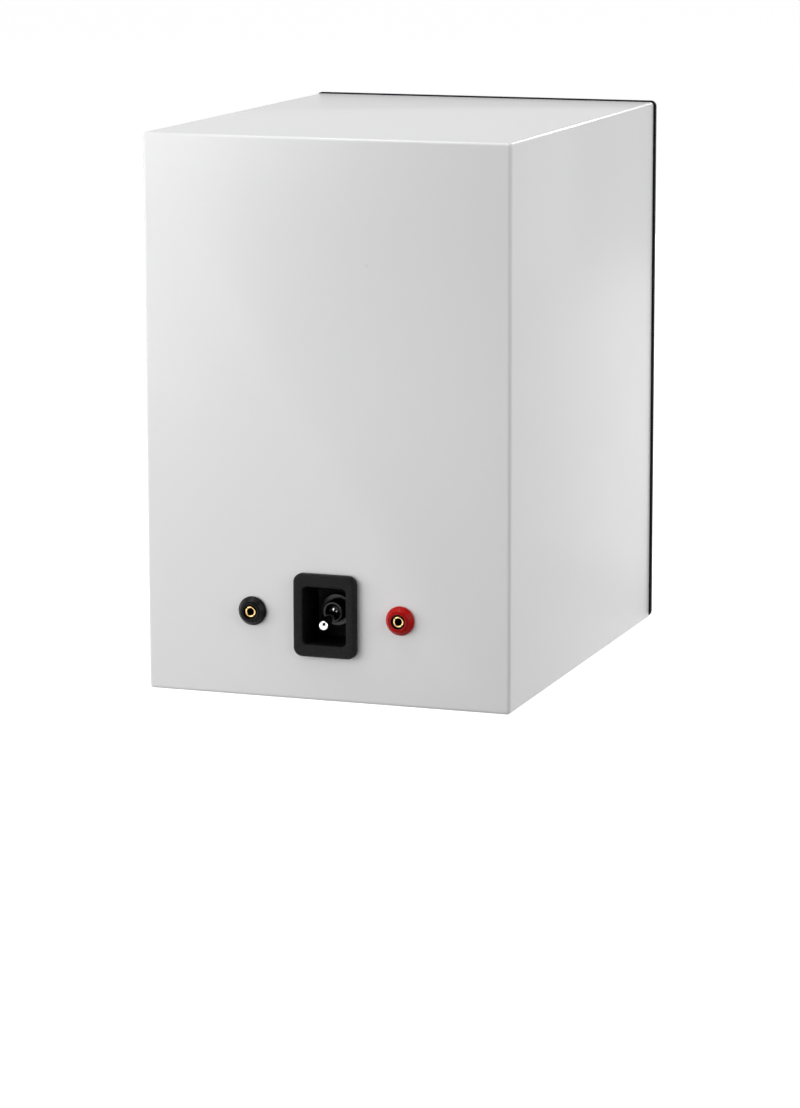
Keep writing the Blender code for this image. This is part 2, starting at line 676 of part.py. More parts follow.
def build_tweeter(mats):
    seat = (0, FRONT, TWEETER_Z)
    moving = axis_empty("tweeter_axis", seat)
    mouth_r = DOME_R + GAP + TWEETER_SURROUND_W / 2
    plate_back = GAP + TWEETER_PLATE_T
    horn = []
    for step in range(HORN_STEPS + 1):
        angle = step / HORN_STEPS * pi / 2
        radius = mouth_r + (HORN_R - mouth_r) * (1 - sin(angle))
        depth = GAP + (TWEETER_PLATE_T - MM) * (1 - cos(angle))
        horn.append((radius, depth))
    outline = [(TWEETER_R, GAP)] + horn + [(mouth_r, plate_back), (TWEETER_R, plate_back)]
    plate = link("tweeter_faceplate", turned_mesh("tweeter_faceplate", outline, FINE), mats["frame"], seat)
    for x, z in around(TWEETER_SCREWS, TWEETER_R - SCREW_INSET, TWEETER_SCREW_TURN):
        hole = rod_mesh("plate_hole", SCREW_R + GAP, -CUT, TWEETER_PLATE_T + CUT, SCREW_SIDES)
        cut(plate, hole, (x, FRONT, TWEETER_Z + z))

    dome = [(DOME_R * cos(a), DOME_DEPTH - DOME_H * sin(a))
            for a in (step / DOME_STEPS * pi / 2 for step in range(DOME_STEPS))]
    dome.append((0, DOME_DEPTH - DOME_H))
    outline = dome[::-1] + [(radius, depth + DOME_T) for radius, depth in dome]
    link("tweeter_dome", turned_mesh("tweeter_dome", outline, MEDIUM), mats["dome"], seat, moving)

    inner = DOME_R + GAP
    ring_front = plate_back + GAP
    ring_back = ring_front + TWEETER_SURROUND_T
    ring = [(inner, ring_front), (inner + TWEETER_SURROUND_W, ring_front),
            (inner + TWEETER_SURROUND_W, ring_back), (inner, ring_back)]
    link("tweeter_surround", turned_mesh("tweeter_surround", ring, MEDIUM), mats["dome"], seat)

    coil_front = DOME_DEPTH + DOME_T + GAP
    coil_r = DOME_R - TWEETER_COIL_T
    coil = [(coil_r, coil_front), (DOME_R, coil_front),
            (DOME_R, coil_front + TWEETER_COIL_L), (coil_r, coil_front + TWEETER_COIL_L)]
    link("tweeter_voice_coil", turned_mesh("tweeter_voice_coil", coil, MEDIUM), mats["copper"], seat, moving)

    gap_r = DOME_R + 2 * GAP
    front = ring_back + GAP
    back = front + TWEETER_STEEL_T
    top = [(gap_r, front), (TWEETER_MAGNET_R, front), (TWEETER_MAGNET_R, back), (gap_r, back)]
    link("tweeter_top_plate", turned_mesh("tweeter_top_plate", top, MEDIUM), mats["steel"], seat)
    magnet_front = back + GAP
    magnet_back = magnet_front + TWEETER_MAGNET_T
    hole_r = gap_r + TWEETER_SURROUND_W
    magnet = [(hole_r, magnet_front), (TWEETER_MAGNET_R, magnet_front),
              (TWEETER_MAGNET_R, magnet_back), (hole_r, magnet_back)]
    link("tweeter_magnet", turned_mesh("tweeter_magnet", magnet, MEDIUM), mats["ferrite"], seat)
    yoke_front = magnet_back + GAP
    pole_r = coil_r - 2 * GAP
    yoke = [(0, front), (pole_r, front), (pole_r, yoke_front), (TWEETER_MAGNET_R, yoke_front),
            (TWEETER_MAGNET_R, yoke_front + TWEETER_STEEL_T), (0, yoke_front + TWEETER_STEEL_T)]
    link("tweeter_yoke", turned_mesh("tweeter_yoke", yoke, MEDIUM), mats["steel"], seat)
    return yoke_front + TWEETER_STEEL_T


# ---------------------------------------------------------------- rear fittings

def build_sockets(mats):
    """A sprung tube in an insulated housing on each side of the switch, held by a nut inside the cabinet."""
    bore = TUBE_R + GAP
    base = GAP + SOCKET_RIM
    well = SOCKET_H - SOCKET_WELL_DEPTH
    housing = [(bore, -SOCKET_SHANK_LENGTH), (SOCKET_SHANK_R, -SOCKET_SHANK_LENGTH), (SOCKET_SHANK_R, GAP),
               (SOCKET_BASE_R, GAP), (SOCKET_BASE_R, base), (SOCKET_FACE_R, SOCKET_H),
               (SOCKET_WELL_R, SOCKET_H), (SOCKET_WELL_R, well), (bore, well)]
    tail = -SOCKET_SHANK_LENGTH - TUBE_TAIL
    tube_face = SOCKET_H - TUBE_RECESS
    tube = [(0, tail), (TUBE_R, tail), (TUBE_R, tube_face), (TUBE_BORE_R, tube_face),
            (TUBE_BORE_R, tube_face - TUBE_BORE_DEPTH), (0, tube_face - TUBE_BORE_DEPTH)]
    nut_front = -WALL - GAP
    for side, name in ((1, "black"), (-1, "red")):
        place = (side * SOCKET_SPACING / 2, REAR, FITTING_Z)
        link(f"{name}_socket", turned_mesh("socket", housing, MEDIUM), mats[name], place)
        contact = link(f"{name}_socket_tube", turned_mesh("socket_tube", tube, COARSE), mats["gold"], place)
        slot = box_bmesh((-TUBE_SLOT / 2, tube_face - TUBE_SLOT_DEPTH, -TUBE_R - CUT),
                         (TUBE_SLOT / 2, tube_face + CUT, TUBE_R + CUT))
        cut(contact, finish_mesh("tube_slot", slot, False), place, 45)
        rings = [circle_ring(SOCKET_SHANK_R + GAP, nut_front, SCREW_SIDES),
                 circle_ring(SOCKET_NUT_R, nut_front, SCREW_SIDES, HEXAGON),
                 circle_ring(SOCKET_NUT_R, nut_front - SOCKET_NUT_T, SCREW_SIDES, HEXAGON),
                 circle_ring(SOCKET_SHANK_R + GAP, nut_front - SOCKET_NUT_T, SCREW_SIDES)]
        link(f"{name}_socket_nut", lofted_mesh("socket_nut", rings, True), mats["steel"], place)


def build_switch_cup(mats):
    """A recessed cup: a raised bezel on the rear face, and a pocket that holds the switch."""
    body = (CUP_MOUTH_W + 2 * CUP_WALL, CUP_MOUTH_H + 2 * CUP_WALL, CUP_MOUTH_R + CUP_WALL)
    rings = [corner_ring(*body, -CUP_DEPTH - CUP_WALL), corner_ring(*body, GAP),
             corner_ring(CUP_W, CUP_H, CUP_CORNER_R, GAP)]
    for step in range(CUP_EDGE_STEPS + 1):
        angle = step / CUP_EDGE_STEPS * pi / 2
        shrink = CUP_EDGE_R * (1 - cos(angle))
        out = CUP_PROUD - CUP_EDGE_R * (1 - sin(angle))
        rings.append(corner_ring(CUP_W - 2 * shrink, CUP_H - 2 * shrink, CUP_CORNER_R - shrink, out))
    wide = (CUP_MOUTH_W + 2 * CUP_BEVEL, CUP_MOUTH_H + 2 * CUP_BEVEL, CUP_MOUTH_R + CUP_BEVEL)
    mouth = (CUP_MOUTH_W, CUP_MOUTH_H, CUP_MOUTH_R)
    rings += [corner_ring(*wide, CUP_PROUD), corner_ring(*mouth, CUP_PROUD - CUP_BEVEL),
              corner_ring(*mouth, -CUP_DEPTH)]
    place = (0, REAR, FITTING_Z)
    cup = link("switch_cup", lofted_mesh("switch_cup", rings), mats["plastic"], place)
    hole = rod_mesh("bushing_hole", BUSHING_R + GAP, -CUP_DEPTH - CUP_WALL - CUT, -CUP_DEPTH + CUT, MEDIUM)
    cut(cup, hole, place)


def lever_outline():
    """A ball at the pivot, a slim neck, and a bat that widens to a rounded tip."""
    neck_angle = atan2(LEVER_NECK_R, hypot(LEVER_BALL_R, LEVER_NECK_R))
    outline = []
    steps = 2 * LEVER_TIP_STEPS
    for step in range(steps):
        angle = (pi - neck_angle) * step / (steps - 1)
        outline.append((LEVER_BALL_R * sin(angle), -LEVER_BALL_R * cos(angle)))
    outline.append((LEVER_NECK_R, LEVER_NECK_AT))
    tip_start = LEVER_LENGTH - LEVER_TIP_R
    for step in range(LEVER_TIP_STEPS + 1):
        angle = step / LEVER_TIP_STEPS * pi / 2
        outline.append((LEVER_TIP_R * cos(angle), tip_start + LEVER_TIP_R * sin(angle)))
    return outline


def build_switch(mats):
    place = (0, REAR, FITTING_Z)
    body_front = -CUP_DEPTH - CUP_WALL - GAP
    face = -BUSHING_FACE
    bore = face - BUSHING_BORE_DEPTH
    bushing = [(0, body_front + GAP), (BUSHING_R, body_front + GAP), (BUSHING_R, face),
               (BUSHING_BORE_R, face), (BUSHING_BORE_R, bore), (0, bore)]
    link("switch_bushing", turned_mesh("switch_bushing", bushing, MEDIUM), mats["nickel"], place)

    corner = NUT_FLATS / 2 / cos(pi / HEXAGON)
    nut_back = -CUP_DEPTH + GAP
    rings = [circle_ring(BUSHING_R + GAP, nut_back, 2 * SCREW_SIDES),
             circle_ring(corner, nut_back, 2 * SCREW_SIDES, HEXAGON),
             circle_ring(corner, nut_back + NUT_T, 2 * SCREW_SIDES, HEXAGON),
             circle_ring(BUSHING_R + GAP, nut_back + NUT_T, 2 * SCREW_SIDES)]
    link("switch_nut", lofted_mesh("switch_nut", rings, True), mats["nickel"], place)

    low = (-SWITCH_W / 2, REAR + body_front - SWITCH_D, FITTING_Z - SWITCH_H / 2)
    high = (SWITCH_W / 2, REAR + body_front, FITTING_Z + SWITCH_H / 2)
    link("switch_body", box_mesh("switch_body", low, high, lambda middle, way: abs(way.y) > 0.5), mats["black"])

    lever = turned_mesh("switch_lever", lever_outline(), COARSE)
    ob = link("switch_lever", lever, mats["chrome"], (0, PIVOT_Y, FITTING_Z))
    ob.rotation_euler = (radians(-LEVER_TILT), 0, 0)
    return body_front - SWITCH_D


# ---------------------------------------------------------------- crossover, wadding and leads

def build_crossover(mats):
    """A board on the inside of the rear panel, with its coils, capacitors and resistor facing forward."""
    back = INNER_REAR - GAP
    front = back - BOARD_T
    low = (-BOARD_W / 2, front, BOARD_Z - BOARD_H / 2)
    high = (BOARD_W / 2, back, BOARD_Z + BOARD_H / 2)
    link("crossover_board", box_mesh("crossover_board", low, high), mats["board"])

    seat = front - GAP
    left_x = -BOARD_W / 2 + BOARD_MARGIN
    right_x = BOARD_W / 2 - BOARD_MARGIN
    top_z = BOARD_Z + BOARD_H / 2 - BOARD_MARGIN
    coils = {"bass_coil": (BASS_COIL_R, BASS_COIL_HOLE_R, BASS_COIL_T,
                           left_x + BASS_COIL_R, top_z - BASS_COIL_R),
             "treble_coil": (TREBLE_COIL_R, TREBLE_COIL_HOLE_R, TREBLE_COIL_T,
                             right_x - TREBLE_COIL_R, top_z - TREBLE_COIL_R)}
    for name, (outer, hole, thick, x, z) in coils.items():
        outline = [(hole, 0), (hole, -thick), (outer, -thick), (outer, 0)]
        link(name, turned_mesh(name, outline, MEDIUM), mats["copper"], (x, seat, z))

    first_z = top_z - 2 * TREBLE_COIL_R - BOARD_MARGIN - CAPACITOR_R
    for number in (1, 2):
        z = first_z - (number - 1) * (2 * CAPACITOR_R + BOARD_MARGIN)
        mesh = rod_mesh(f"capacitor_{number}", CAPACITOR_R, -CAPACITOR_L / 2, CAPACITOR_L / 2)
        ob = link(f"capacitor_{number}", mesh, mats["capacitor"],
                  (right_x - CAPACITOR_L / 2, seat - CAPACITOR_R, z))
        ob.rotation_euler = (0, 0, pi / 2)

    high_z = top_z - 2 * BASS_COIL_R - BOARD_MARGIN
    low = (left_x, seat - RESISTOR_SIDE, high_z - RESISTOR_SIDE)
    high = (left_x + RESISTOR_L, seat, high_z)
    link("resistor", box_mesh("resistor", low, high, lambda middle, way: True, MM, 1), mats["resistor"])
    return seat


def build_wadding(mats, rear):
    """A block of fibre across the middle of the cabinet, clear of the drivers and of the leads on the right."""
    inner_w = CABINET_W / 2 - WALL
    low = (-inner_w + WADDING_CLEARANCE, rear - WADDING_T, WALL + WADDING_CLEARANCE)
    high = (inner_w - 2 * LEAD_CLEARANCE - WADDING_CLEARANCE, rear, CABINET_H - WALL - WADDING_CLEARANCE)
    mesh = box_mesh("acoustic_wadding", low, high, lambda middle, way: True, WADDING_EDGE_R, 2)
    link("acoustic_wadding", mesh, mats["wadding"])


def smooth_route(stops):
    """Round off a route by cutting its corners twice, which keeps its ends straight."""
    points = [Vector(stop) for stop in stops]
    for _ in range(LEAD_ROUNDS):
        cut_points = [points[0]]
        for i in range(1, len(points) - 1):
            cut_points.append(points[i].lerp(points[i - 1], CORNER_CUT))
            cut_points.append(points[i].lerp(points[i + 1], CORNER_CUT))
        points = cut_points + [points[-1]]
    return points


def build_lead(name, mats, stops):
    curve = bpy.data.curves.new(name, "CURVE")
    curve.dimensions = "3D"
    curve.bevel_depth = LEAD_R
    curve.bevel_resolution = 2
    curve.use_fill_caps = True
    points = smooth_route(stops)
    spline = curve.splines.new("POLY")
    spline.points.add(len(points) - 1)
    for point, place in zip(spline.points, points):
        point.co = (*place, 1)
    link(name, curve, mats["lead"])


def build_leads(mats, woofer_side, tweeter_back, switch_back, board_front):
    """Leads from the sockets and the switch to the board, and from the board to the drivers."""
    board_y = board_front
    low_z = BOARD_Z - BOARD_H / 2 + BOARD_MARGIN
    high_z = BOARD_Z + BOARD_H / 2 - BOARD_MARGIN
    step = LEAD_STRAIGHT
    side_x = CABINET_W / 2 - WALL - LEAD_CLEARANCE

    tail_y = REAR - SOCKET_SHANK_LENGTH - TUBE_TAIL - GAP
    for side, name in ((1, "black"), (-1, "red")):
        x = side * SOCKET_SPACING / 2
        build_lead(f"{name}_socket_lead", mats, [
            (x, tail_y, FITTING_Z), (x, tail_y - step, FITTING_Z), (x, tail_y - step, FITTING_Z + 2 * step),
            (x, board_y - step, low_z), (x, board_y, low_z)])

    back_y = REAR + switch_back - GAP
    build_lead("switch_lead", mats, [
        (0, back_y, FITTING_Z), (0, back_y - step, FITTING_Z), (0, back_y - step, FITTING_Z + 2 * step),
        (0, board_y - step, low_z), (0, board_y, low_z)])

    edge_x = BOARD_W / 2 - LEAD_R
    low_mid = (low_z + WOOFER_Z) / 2
    reach_x, reach_y = woofer_side
    build_lead("woofer_lead", mats, [
        (edge_x, board_y, low_z), (edge_x, board_y - step, low_z), (side_x, board_y - 3 * step, low_mid),
        (side_x, 0, WOOFER_Z), (side_x, reach_y + 4 * step, WOOFER_Z),
        (reach_x + 2 * step, reach_y, WOOFER_Z), (reach_x + step, reach_y, WOOFER_Z), (reach_x, reach_y, WOOFER_Z)])

    high_mid = (high_z + TWEETER_Z) / 2
    target_x = TWEETER_MAGNET_R / 2
    build_lead("tweeter_lead", mats, [
        (edge_x, board_y, high_z), (edge_x, board_y - step, high_z), (side_x, board_y - 3 * step, high_mid),
        (side_x, 0, TWEETER_Z), (side_x, tweeter_back + 5 * step, TWEETER_Z),
        (target_x, tweeter_back + 2 * step, TWEETER_Z), (target_x, tweeter_back + step, TWEETER_Z),
        (target_x, tweeter_back, TWEETER_Z)])


def main():
    clear_scene()
    mats = make_materials()
    panels = build_cabinet(mats)
    cut_baffle(panels["front_baffle"])
    cut_rear_panel(panels["rear_panel"])
    build_grille(mats)
    build_screws(mats)
    build_woofer(mats)
    tweeter_depth = build_tweeter(mats)
    build_sockets(mats)
    build_switch_cup(mats)
    switch_back = build_switch(mats)
    board_front = build_crossover(mats)
    parts_front = board_front - max(BASS_COIL_T, TREBLE_COIL_T, 2 * CAPACITOR_R)
    lead_front = REAR + switch_back - 2 * LEAD_STRAIGHT
    build_wadding(mats, min(parts_front, lead_front) - WADDING_CLEARANCE)
    shelf_y = FRONT + (SPIDER_DEPTH + SPIDER_T + BASKET_T + BASKET_DEPTH) / 2
    pot_r = SPIDER_R - SPIDER_SEAT + BASKET_T
    build_leads(mats, (pot_r + GAP, shelf_y), FRONT + tweeter_depth + GAP, switch_back, board_front)


main()
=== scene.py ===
"""The look of a white bookshelf speaker: lacquer, cloth, plated metal and moulded plastic."""

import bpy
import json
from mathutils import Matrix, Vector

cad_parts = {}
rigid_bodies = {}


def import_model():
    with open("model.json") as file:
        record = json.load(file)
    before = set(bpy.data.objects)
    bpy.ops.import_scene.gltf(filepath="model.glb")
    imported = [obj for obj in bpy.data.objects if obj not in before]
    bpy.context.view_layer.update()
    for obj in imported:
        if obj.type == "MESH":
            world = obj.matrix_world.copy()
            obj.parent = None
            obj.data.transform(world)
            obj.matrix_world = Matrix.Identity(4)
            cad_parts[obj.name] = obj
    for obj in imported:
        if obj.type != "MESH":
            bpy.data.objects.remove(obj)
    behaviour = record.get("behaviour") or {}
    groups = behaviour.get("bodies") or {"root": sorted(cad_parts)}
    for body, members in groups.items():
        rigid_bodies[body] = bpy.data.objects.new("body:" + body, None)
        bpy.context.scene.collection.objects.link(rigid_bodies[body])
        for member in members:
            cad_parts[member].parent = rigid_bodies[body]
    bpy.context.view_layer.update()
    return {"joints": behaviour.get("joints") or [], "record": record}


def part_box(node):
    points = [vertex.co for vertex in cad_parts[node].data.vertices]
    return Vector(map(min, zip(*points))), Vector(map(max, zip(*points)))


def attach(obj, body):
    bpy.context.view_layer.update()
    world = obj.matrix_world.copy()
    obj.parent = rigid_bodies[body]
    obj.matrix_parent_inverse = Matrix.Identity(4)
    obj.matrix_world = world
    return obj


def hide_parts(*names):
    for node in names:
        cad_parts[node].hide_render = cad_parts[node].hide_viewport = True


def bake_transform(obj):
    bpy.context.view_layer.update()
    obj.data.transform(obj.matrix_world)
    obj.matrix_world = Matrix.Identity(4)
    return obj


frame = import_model()

import json
from math import atan2, copysign, cos, hypot, pi, radians, sin

import bmesh
import bpy
from mathutils import Matrix, Vector

MM = 0.001
# Clearance between pieces that fit together
GAP = 0.3 * MM
MERGE = 0.001 * MM
# How far a cutter reaches past the face that it opens
REACH = 2 * MM

# How finely round shapes are divided
FINE = 160
MEDIUM = 96
COARSE = 48
RING_SIDES = 96
EDGE_SIDES = 5
SOFT_SIDES = 3
SMALL_ARC = 4

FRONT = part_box("front_baffle")[0].y
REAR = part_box("rear_panel")[1].y


# ---- shape helpers

def middle_of(node):
    low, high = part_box(node)
    return (low + high) / 2


def piece_from(name, bm, material, body, sharp=35):
    """Close a bmesh, face it outward and make it a piece that rides on a body."""
    bmesh.ops.remove_doubles(bm, verts=bm.verts, dist=MERGE)
    bmesh.ops.recalc_face_normals(bm, faces=bm.faces)
    mesh = bpy.data.meshes.new(name)
    bm.to_mesh(mesh)
    bm.free()
    mesh.shade_smooth()
    mesh.set_sharp_from_angle(angle=radians(sharp))
    ob = bpy.data.objects.new(name, mesh)
    bpy.context.scene.collection.objects.link(ob)
    ob.data.materials.append(material)
    if body:
        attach(ob, body)
    return ob


def soften(bm, size, least=40):
    """Round every edge whose faces meet at more than the least angle."""
    bmesh.ops.remove_doubles(bm, verts=bm.verts, dist=MERGE)
    bmesh.ops.recalc_face_normals(bm, faces=bm.faces)
    hard = [edge for edge in bm.edges if edge.is_manifold and edge.calc_face_angle() > radians(least)]
    bmesh.ops.bevel(bm, geom=hard, offset=size, segments=SOFT_SIDES, profile=0.5,
                    affect="EDGES", material=-1)


def turn(bm, outline, place, steps=MEDIUM):
    """Spin an outline of (radius, depth) points about a line along Y through place."""
    verts = [bm.verts.new((radius, depth, 0)) for radius, depth in outline]
    edges = [bm.edges.new(pair) for pair in zip(verts, verts[1:])]
    if outline[0][0] > MERGE or outline[-1][0] > MERGE:
        edges.append(bm.edges.new((verts[-1], verts[0])))
    before = set(bm.verts) - set(verts)
    bmesh.ops.spin(bm, geom=verts + edges, cent=(0, 0, 0), axis=(0, 1, 0), angle=2 * pi,
                   steps=steps, use_merge=True)
    made = [v for v in bm.verts if v not in before]
    bmesh.ops.translate(bm, verts=made, vec=place)


def turned(name, outline, place, material, body, steps=MEDIUM, sharp=35, edge=0):
    """A piece turned about Y at place, with its hard edges softened where edge is given."""
    bm = bmesh.new()
    turn(bm, outline, place, steps)
    if edge:
        soften(bm, edge)
    return piece_from(name, bm, material, body, sharp)


def rectangle_ring(width, height, radius, depth):
    """Points round a rectangle with rounded corners, square to Y."""
    points = []
    for i in range(RING_SIDES):
        angle = 2 * pi * (i + 0.5) / RING_SIDES
        across, up = cos(angle), sin(angle)
        points.append((copysign(width / 2 - radius, across) + radius * across, depth,
                       copysign(height / 2 - radius, up) + radius * up))
    return points


def polygon_ring(radius, depth, flats=0):
    """Points round a circle, or along the sides of a polygon with that many flats."""
    points = []
    for i in range(RING_SIDES):
        angle = 2 * pi * i / RING_SIDES
        reach = radius
        if flats:
            within = angle % (2 * pi / flats) - pi / flats
            reach = radius * cos(pi / flats) / cos(within)
        points.append((reach * cos(angle), depth, reach * sin(angle)))
    return points


def draw_rings(bm, rings, place, closed=False, caps=True):
    """Extrude a loop through the rings, then cap its ends or join the last ring to the first."""
    order = bm.verts.layers.int.new("order")
    verts = bmesh.ops.create_circle(bm, segments=RING_SIDES, radius=1)["verts"]
    for number, v in enumerate(verts):
        v[order] = number
    edges = list({edge for v in verts for edge in v.link_edges})
    first = edges
    for ring in rings + rings[:1] * closed:
        if ring is not rings[0] or verts[0].link_faces:
            made = bmesh.ops.extrude_edge_only(bm, edges=edges)["geom"]
            verts = [item for item in made if isinstance(item, bmesh.types.BMVert)]
            fresh = set(verts)
            edges = [item for item in made if isinstance(item, bmesh.types.BMEdge)
                     and item.verts[0] in fresh and item.verts[1] in fresh]
        for v in verts:
            v.co = Vector(ring[v[order]]) + Vector(place)
    if caps and not closed:
        bmesh.ops.holes_fill(bm, edges=first + edges, sides=0)


def arc(centre, radius, start, end, steps):
    """(radius, depth) points along an arc, with angles in degrees from the radius direction."""
    points = []
    for step in range(steps + 1):
        angle = radians(start + (end - start) * step / steps)
        points.append((centre[0] + radius * cos(angle), centre[1] + radius * sin(angle)))
    return points


def carve(ob, cutters, operation="DIFFERENCE", sharp=30):
    """Take the cutters' shapes out of a piece, or add them to it, and remove them."""
    for bm in cutters:
        bmesh.ops.remove_doubles(bm, verts=bm.verts, dist=MERGE)
        bmesh.ops.recalc_face_normals(bm, faces=bm.faces)
        mesh = bpy.data.meshes.new("cutter")
        bm.to_mesh(mesh)
        bm.free()
        cutter = bpy.data.objects.new("cutter", mesh)
        bpy.context.scene.collection.objects.link(cutter)
        modifier = ob.modifiers.new("carve", "BOOLEAN")
        modifier.operation = operation
        modifier.solver = "EXACT"
        modifier.object = cutter
        bpy.context.view_layer.update()
        evaluated = ob.evaluated_get(bpy.context.evaluated_depsgraph_get())
        carved = bpy.data.meshes.new_from_object(evaluated)
        ob.modifiers.clear()
        old = ob.data
        ob.data = carved
        bpy.data.meshes.remove(old)
        bpy.data.objects.remove(cutter, do_unlink=True)
    ob.data.shade_smooth()
    ob.data.set_sharp_from_angle(angle=radians(sharp))


# ---- material helpers

class Finish:
    """A node material built step by step round one Principled shader."""

    def __init__(self, name, colour, roughness, metallic=0.0, specular=0.5):
        self.material = bpy.data.materials.new(name)
        self.material.use_nodes = True
        self.nodes = self.material.node_tree.nodes
        self.links = self.material.node_tree.links
        self.shader = self.nodes["Principled BSDF"]
        self.set("Base Color", (*colour, 1))
        self.set("Roughness", roughness)
        self.set("Metallic", metallic)
        self.set("Specular IOR Level", specular)
        self.material.diffuse_color = (*colour, 1)
        self.place = self.nodes.new("ShaderNodeTexCoord").outputs["Object"]

    def set(self, socket, value):
        self.shader.inputs[socket].default_value = value

    def add(self, kind, **values):
        node = self.nodes.new(kind)
        for key, value in values.items():
            if key in node.inputs:
                node.inputs[key].default_value = value
            else:
                setattr(node, key, value)
        return node

    def noise(self, size, detail=3.0, coarse=0.5, stretch=(1, 1, 1)):
        """A noise whose lumps are about size metres across."""
        mapping = self.add("ShaderNodeMapping")
        mapping.inputs["Scale"].default_value = [s / size for s in stretch]
        self.links.new(self.place, mapping.inputs["Vector"])
        node = self.add("ShaderNodeTexNoise", Scale=1.0, Detail=detail, Roughness=coarse)
        self.links.new(mapping.outputs["Vector"], node.inputs["Vector"])
        return node.outputs["Fac"]

    def spread(self, source, low, high, start=0.3, end=0.7):
        """Map a pattern from start..end to low..high."""
        node = self.add("ShaderNodeMapRange")
        for socket, value in (("From Min", start), ("From Max", end), ("To Min", low), ("To Max", high)):
            node.inputs[socket].default_value = value
        self.links.new(source, node.inputs["Value"])
        return node.outputs["Result"]

    def tint(self, source, first, second, start=0.3, end=0.7):
        """Drive the colour by a pattern, from the first colour to the second."""
        ramp = self.add("ShaderNodeValToRGB")
        ramp.color_ramp.elements[0].position = start
        ramp.color_ramp.elements[0].color = (*first, 1)
        ramp.color_ramp.elements[1].position = end
        ramp.color_ramp.elements[1].color = (*second, 1)
        self.links.new(source, ramp.inputs["Fac"])
        self.links.new(ramp.outputs["Color"], self.shader.inputs["Base Color"])

    def rough(self, source, low, high, start=0.3, end=0.7):
        self.links.new(self.spread(source, low, high, start, end), self.shader.inputs["Roughness"])

    def bump(self, source, height, strength=1.0):
        """Raise the surface by a pattern; height is in metres. A second call adds to the first."""
        node = self.add("ShaderNodeBump", Strength=strength, Distance=height)
        self.links.new(source, node.inputs["Height"])
        normal = self.shader.inputs["Normal"]
        if normal.links:
            self.links.new(normal.links[0].from_socket, node.inputs["Normal"])
        self.links.new(node.outputs["Normal"], normal)


def lacquer_finish():
    f = Finish("white_lacquer", (0.8, 0.8, 0.8), 0.3)
    f.tint(f.noise(0.12, 2), (0.79, 0.792, 0.795), (0.81, 0.81, 0.808), 0, 1)
    f.rough(f.noise(0.05, 2), 0.26, 0.34, 0, 1)
    f.bump(f.noise(0.006, 1), 0.00002, 0.15)
    f.set("Coat Weight", 0.35)
    f.set("Coat Roughness", 0.12)
    return f.material


def grain_finish(name, colour, roughness, grain=0.00045, depth=0.00006, specular=0.2):
    """Finely spark-eroded plastic or powder coat."""
    f = Finish(name, colour, roughness, specular=specular)
    lighter = [c * 1.3 + 0.001 for c in colour]
    fine = f.noise(grain, 3, 0.6)
    f.tint(f.noise(grain * 3, 4, 0.7), colour, lighter, 0.35, 0.75)
    f.rough(fine, roughness - 0.08, roughness + 0.1)
    f.bump(fine, depth, 0.8)
    return f.material


def smooth_plastic_finish(name, colour, roughness=0.3, specular=0.25):
    f = Finish(name, colour, roughness, specular=specular)
    f.tint(f.noise(0.004, 3), colour, [c * 0.9 for c in colour])
    f.rough(f.noise(0.0015, 4), roughness - 0.05, roughness + 0.06)
    f.bump(f.noise(0.0008, 2), 0.00001, 0.4)
    return f.material


def plated_finish(name, colour, roughness, scratch=0.00004):
    """Bright plating with faint polishing marks."""
    f = Finish(name, colour, roughness, 1.0)
    marks = f.noise(0.0006, 5, 0.6, (1, 0.12, 1))
    f.tint(f.noise(0.005, 3), colour, [c * 0.93 for c in colour])
    f.rough(marks, max(0.02, roughness - 0.03), roughness + 0.06)
    f.bump(marks, scratch * 0.1, 0.3)
    return f.material


def turned_metal_finish(name, colour, roughness):
    """Steel faced on a lathe, then plated."""
    f = Finish(name, colour, roughness, 1.0)
    rings = f.add("ShaderNodeTexWave", wave_type="RINGS", rings_direction="Y", Scale=700.0, Distortion=1.5)
    f.links.new(f.place, rings.inputs["Vector"])
    f.tint(f.noise(0.008, 4), colour, [c * 0.8 for c in colour])
    f.rough(f.noise(0.002, 5), roughness - 0.06, roughness + 0.1)
    f.bump(rings.outputs["Fac"], 0.00001, 0.5)
    return f.material


def cloth_finish():
    """Open black knit: a grid of fine holes between twisted threads, laid on the cloth's own map."""
    f = Finish("black_cloth", (0.012, 0.012, 0.013), 0.9, specular=0.25)
    uv = f.nodes["Texture Coordinate"].outputs["UV"]
    knit = []
    for direction in ("X", "Y"):
        wave = f.add("ShaderNodeTexWave", wave_type="BANDS", bands_direction=direction, wave_profile="SIN",
                     Scale=220.0, Distortion=0.0)
        f.links.new(uv, wave.inputs["Vector"])
        knit.append(wave.outputs["Fac"])
    both = f.add("ShaderNodeMath", operation="MAXIMUM")
    f.links.new(knit[0], both.inputs[0])
    f.links.new(knit[1], both.inputs[1])
    f.tint(both.outputs["Value"], (0.002, 0.002, 0.002), (0.022, 0.022, 0.023), 0.5, 0.95)
    f.rough(f.noise(0.002, 4), 0.85, 0.95)
    f.bump(both.outputs["Value"], 0.0003, 0.9)
    f.set("Sheen Weight", 0.1)
    f.set("Sheen Roughness", 0.5)
    return f.material


def pulp_finish():
    """Pressed paper pulp with short pale fibres."""
    f = Finish("cone_pulp", (0.035, 0.035, 0.037), 0.75)
    fibres = f.noise(0.0012, 6, 0.75, (1, 1, 0.25))
    f.tint(fibres, (0.022, 0.022, 0.024), (0.06, 0.06, 0.063), 0.4, 0.75)
    f.rough(fibres, 0.62, 0.82)
    f.bump(f.noise(0.0008, 5, 0.7), 0.00008, 0.7)
    return f.material


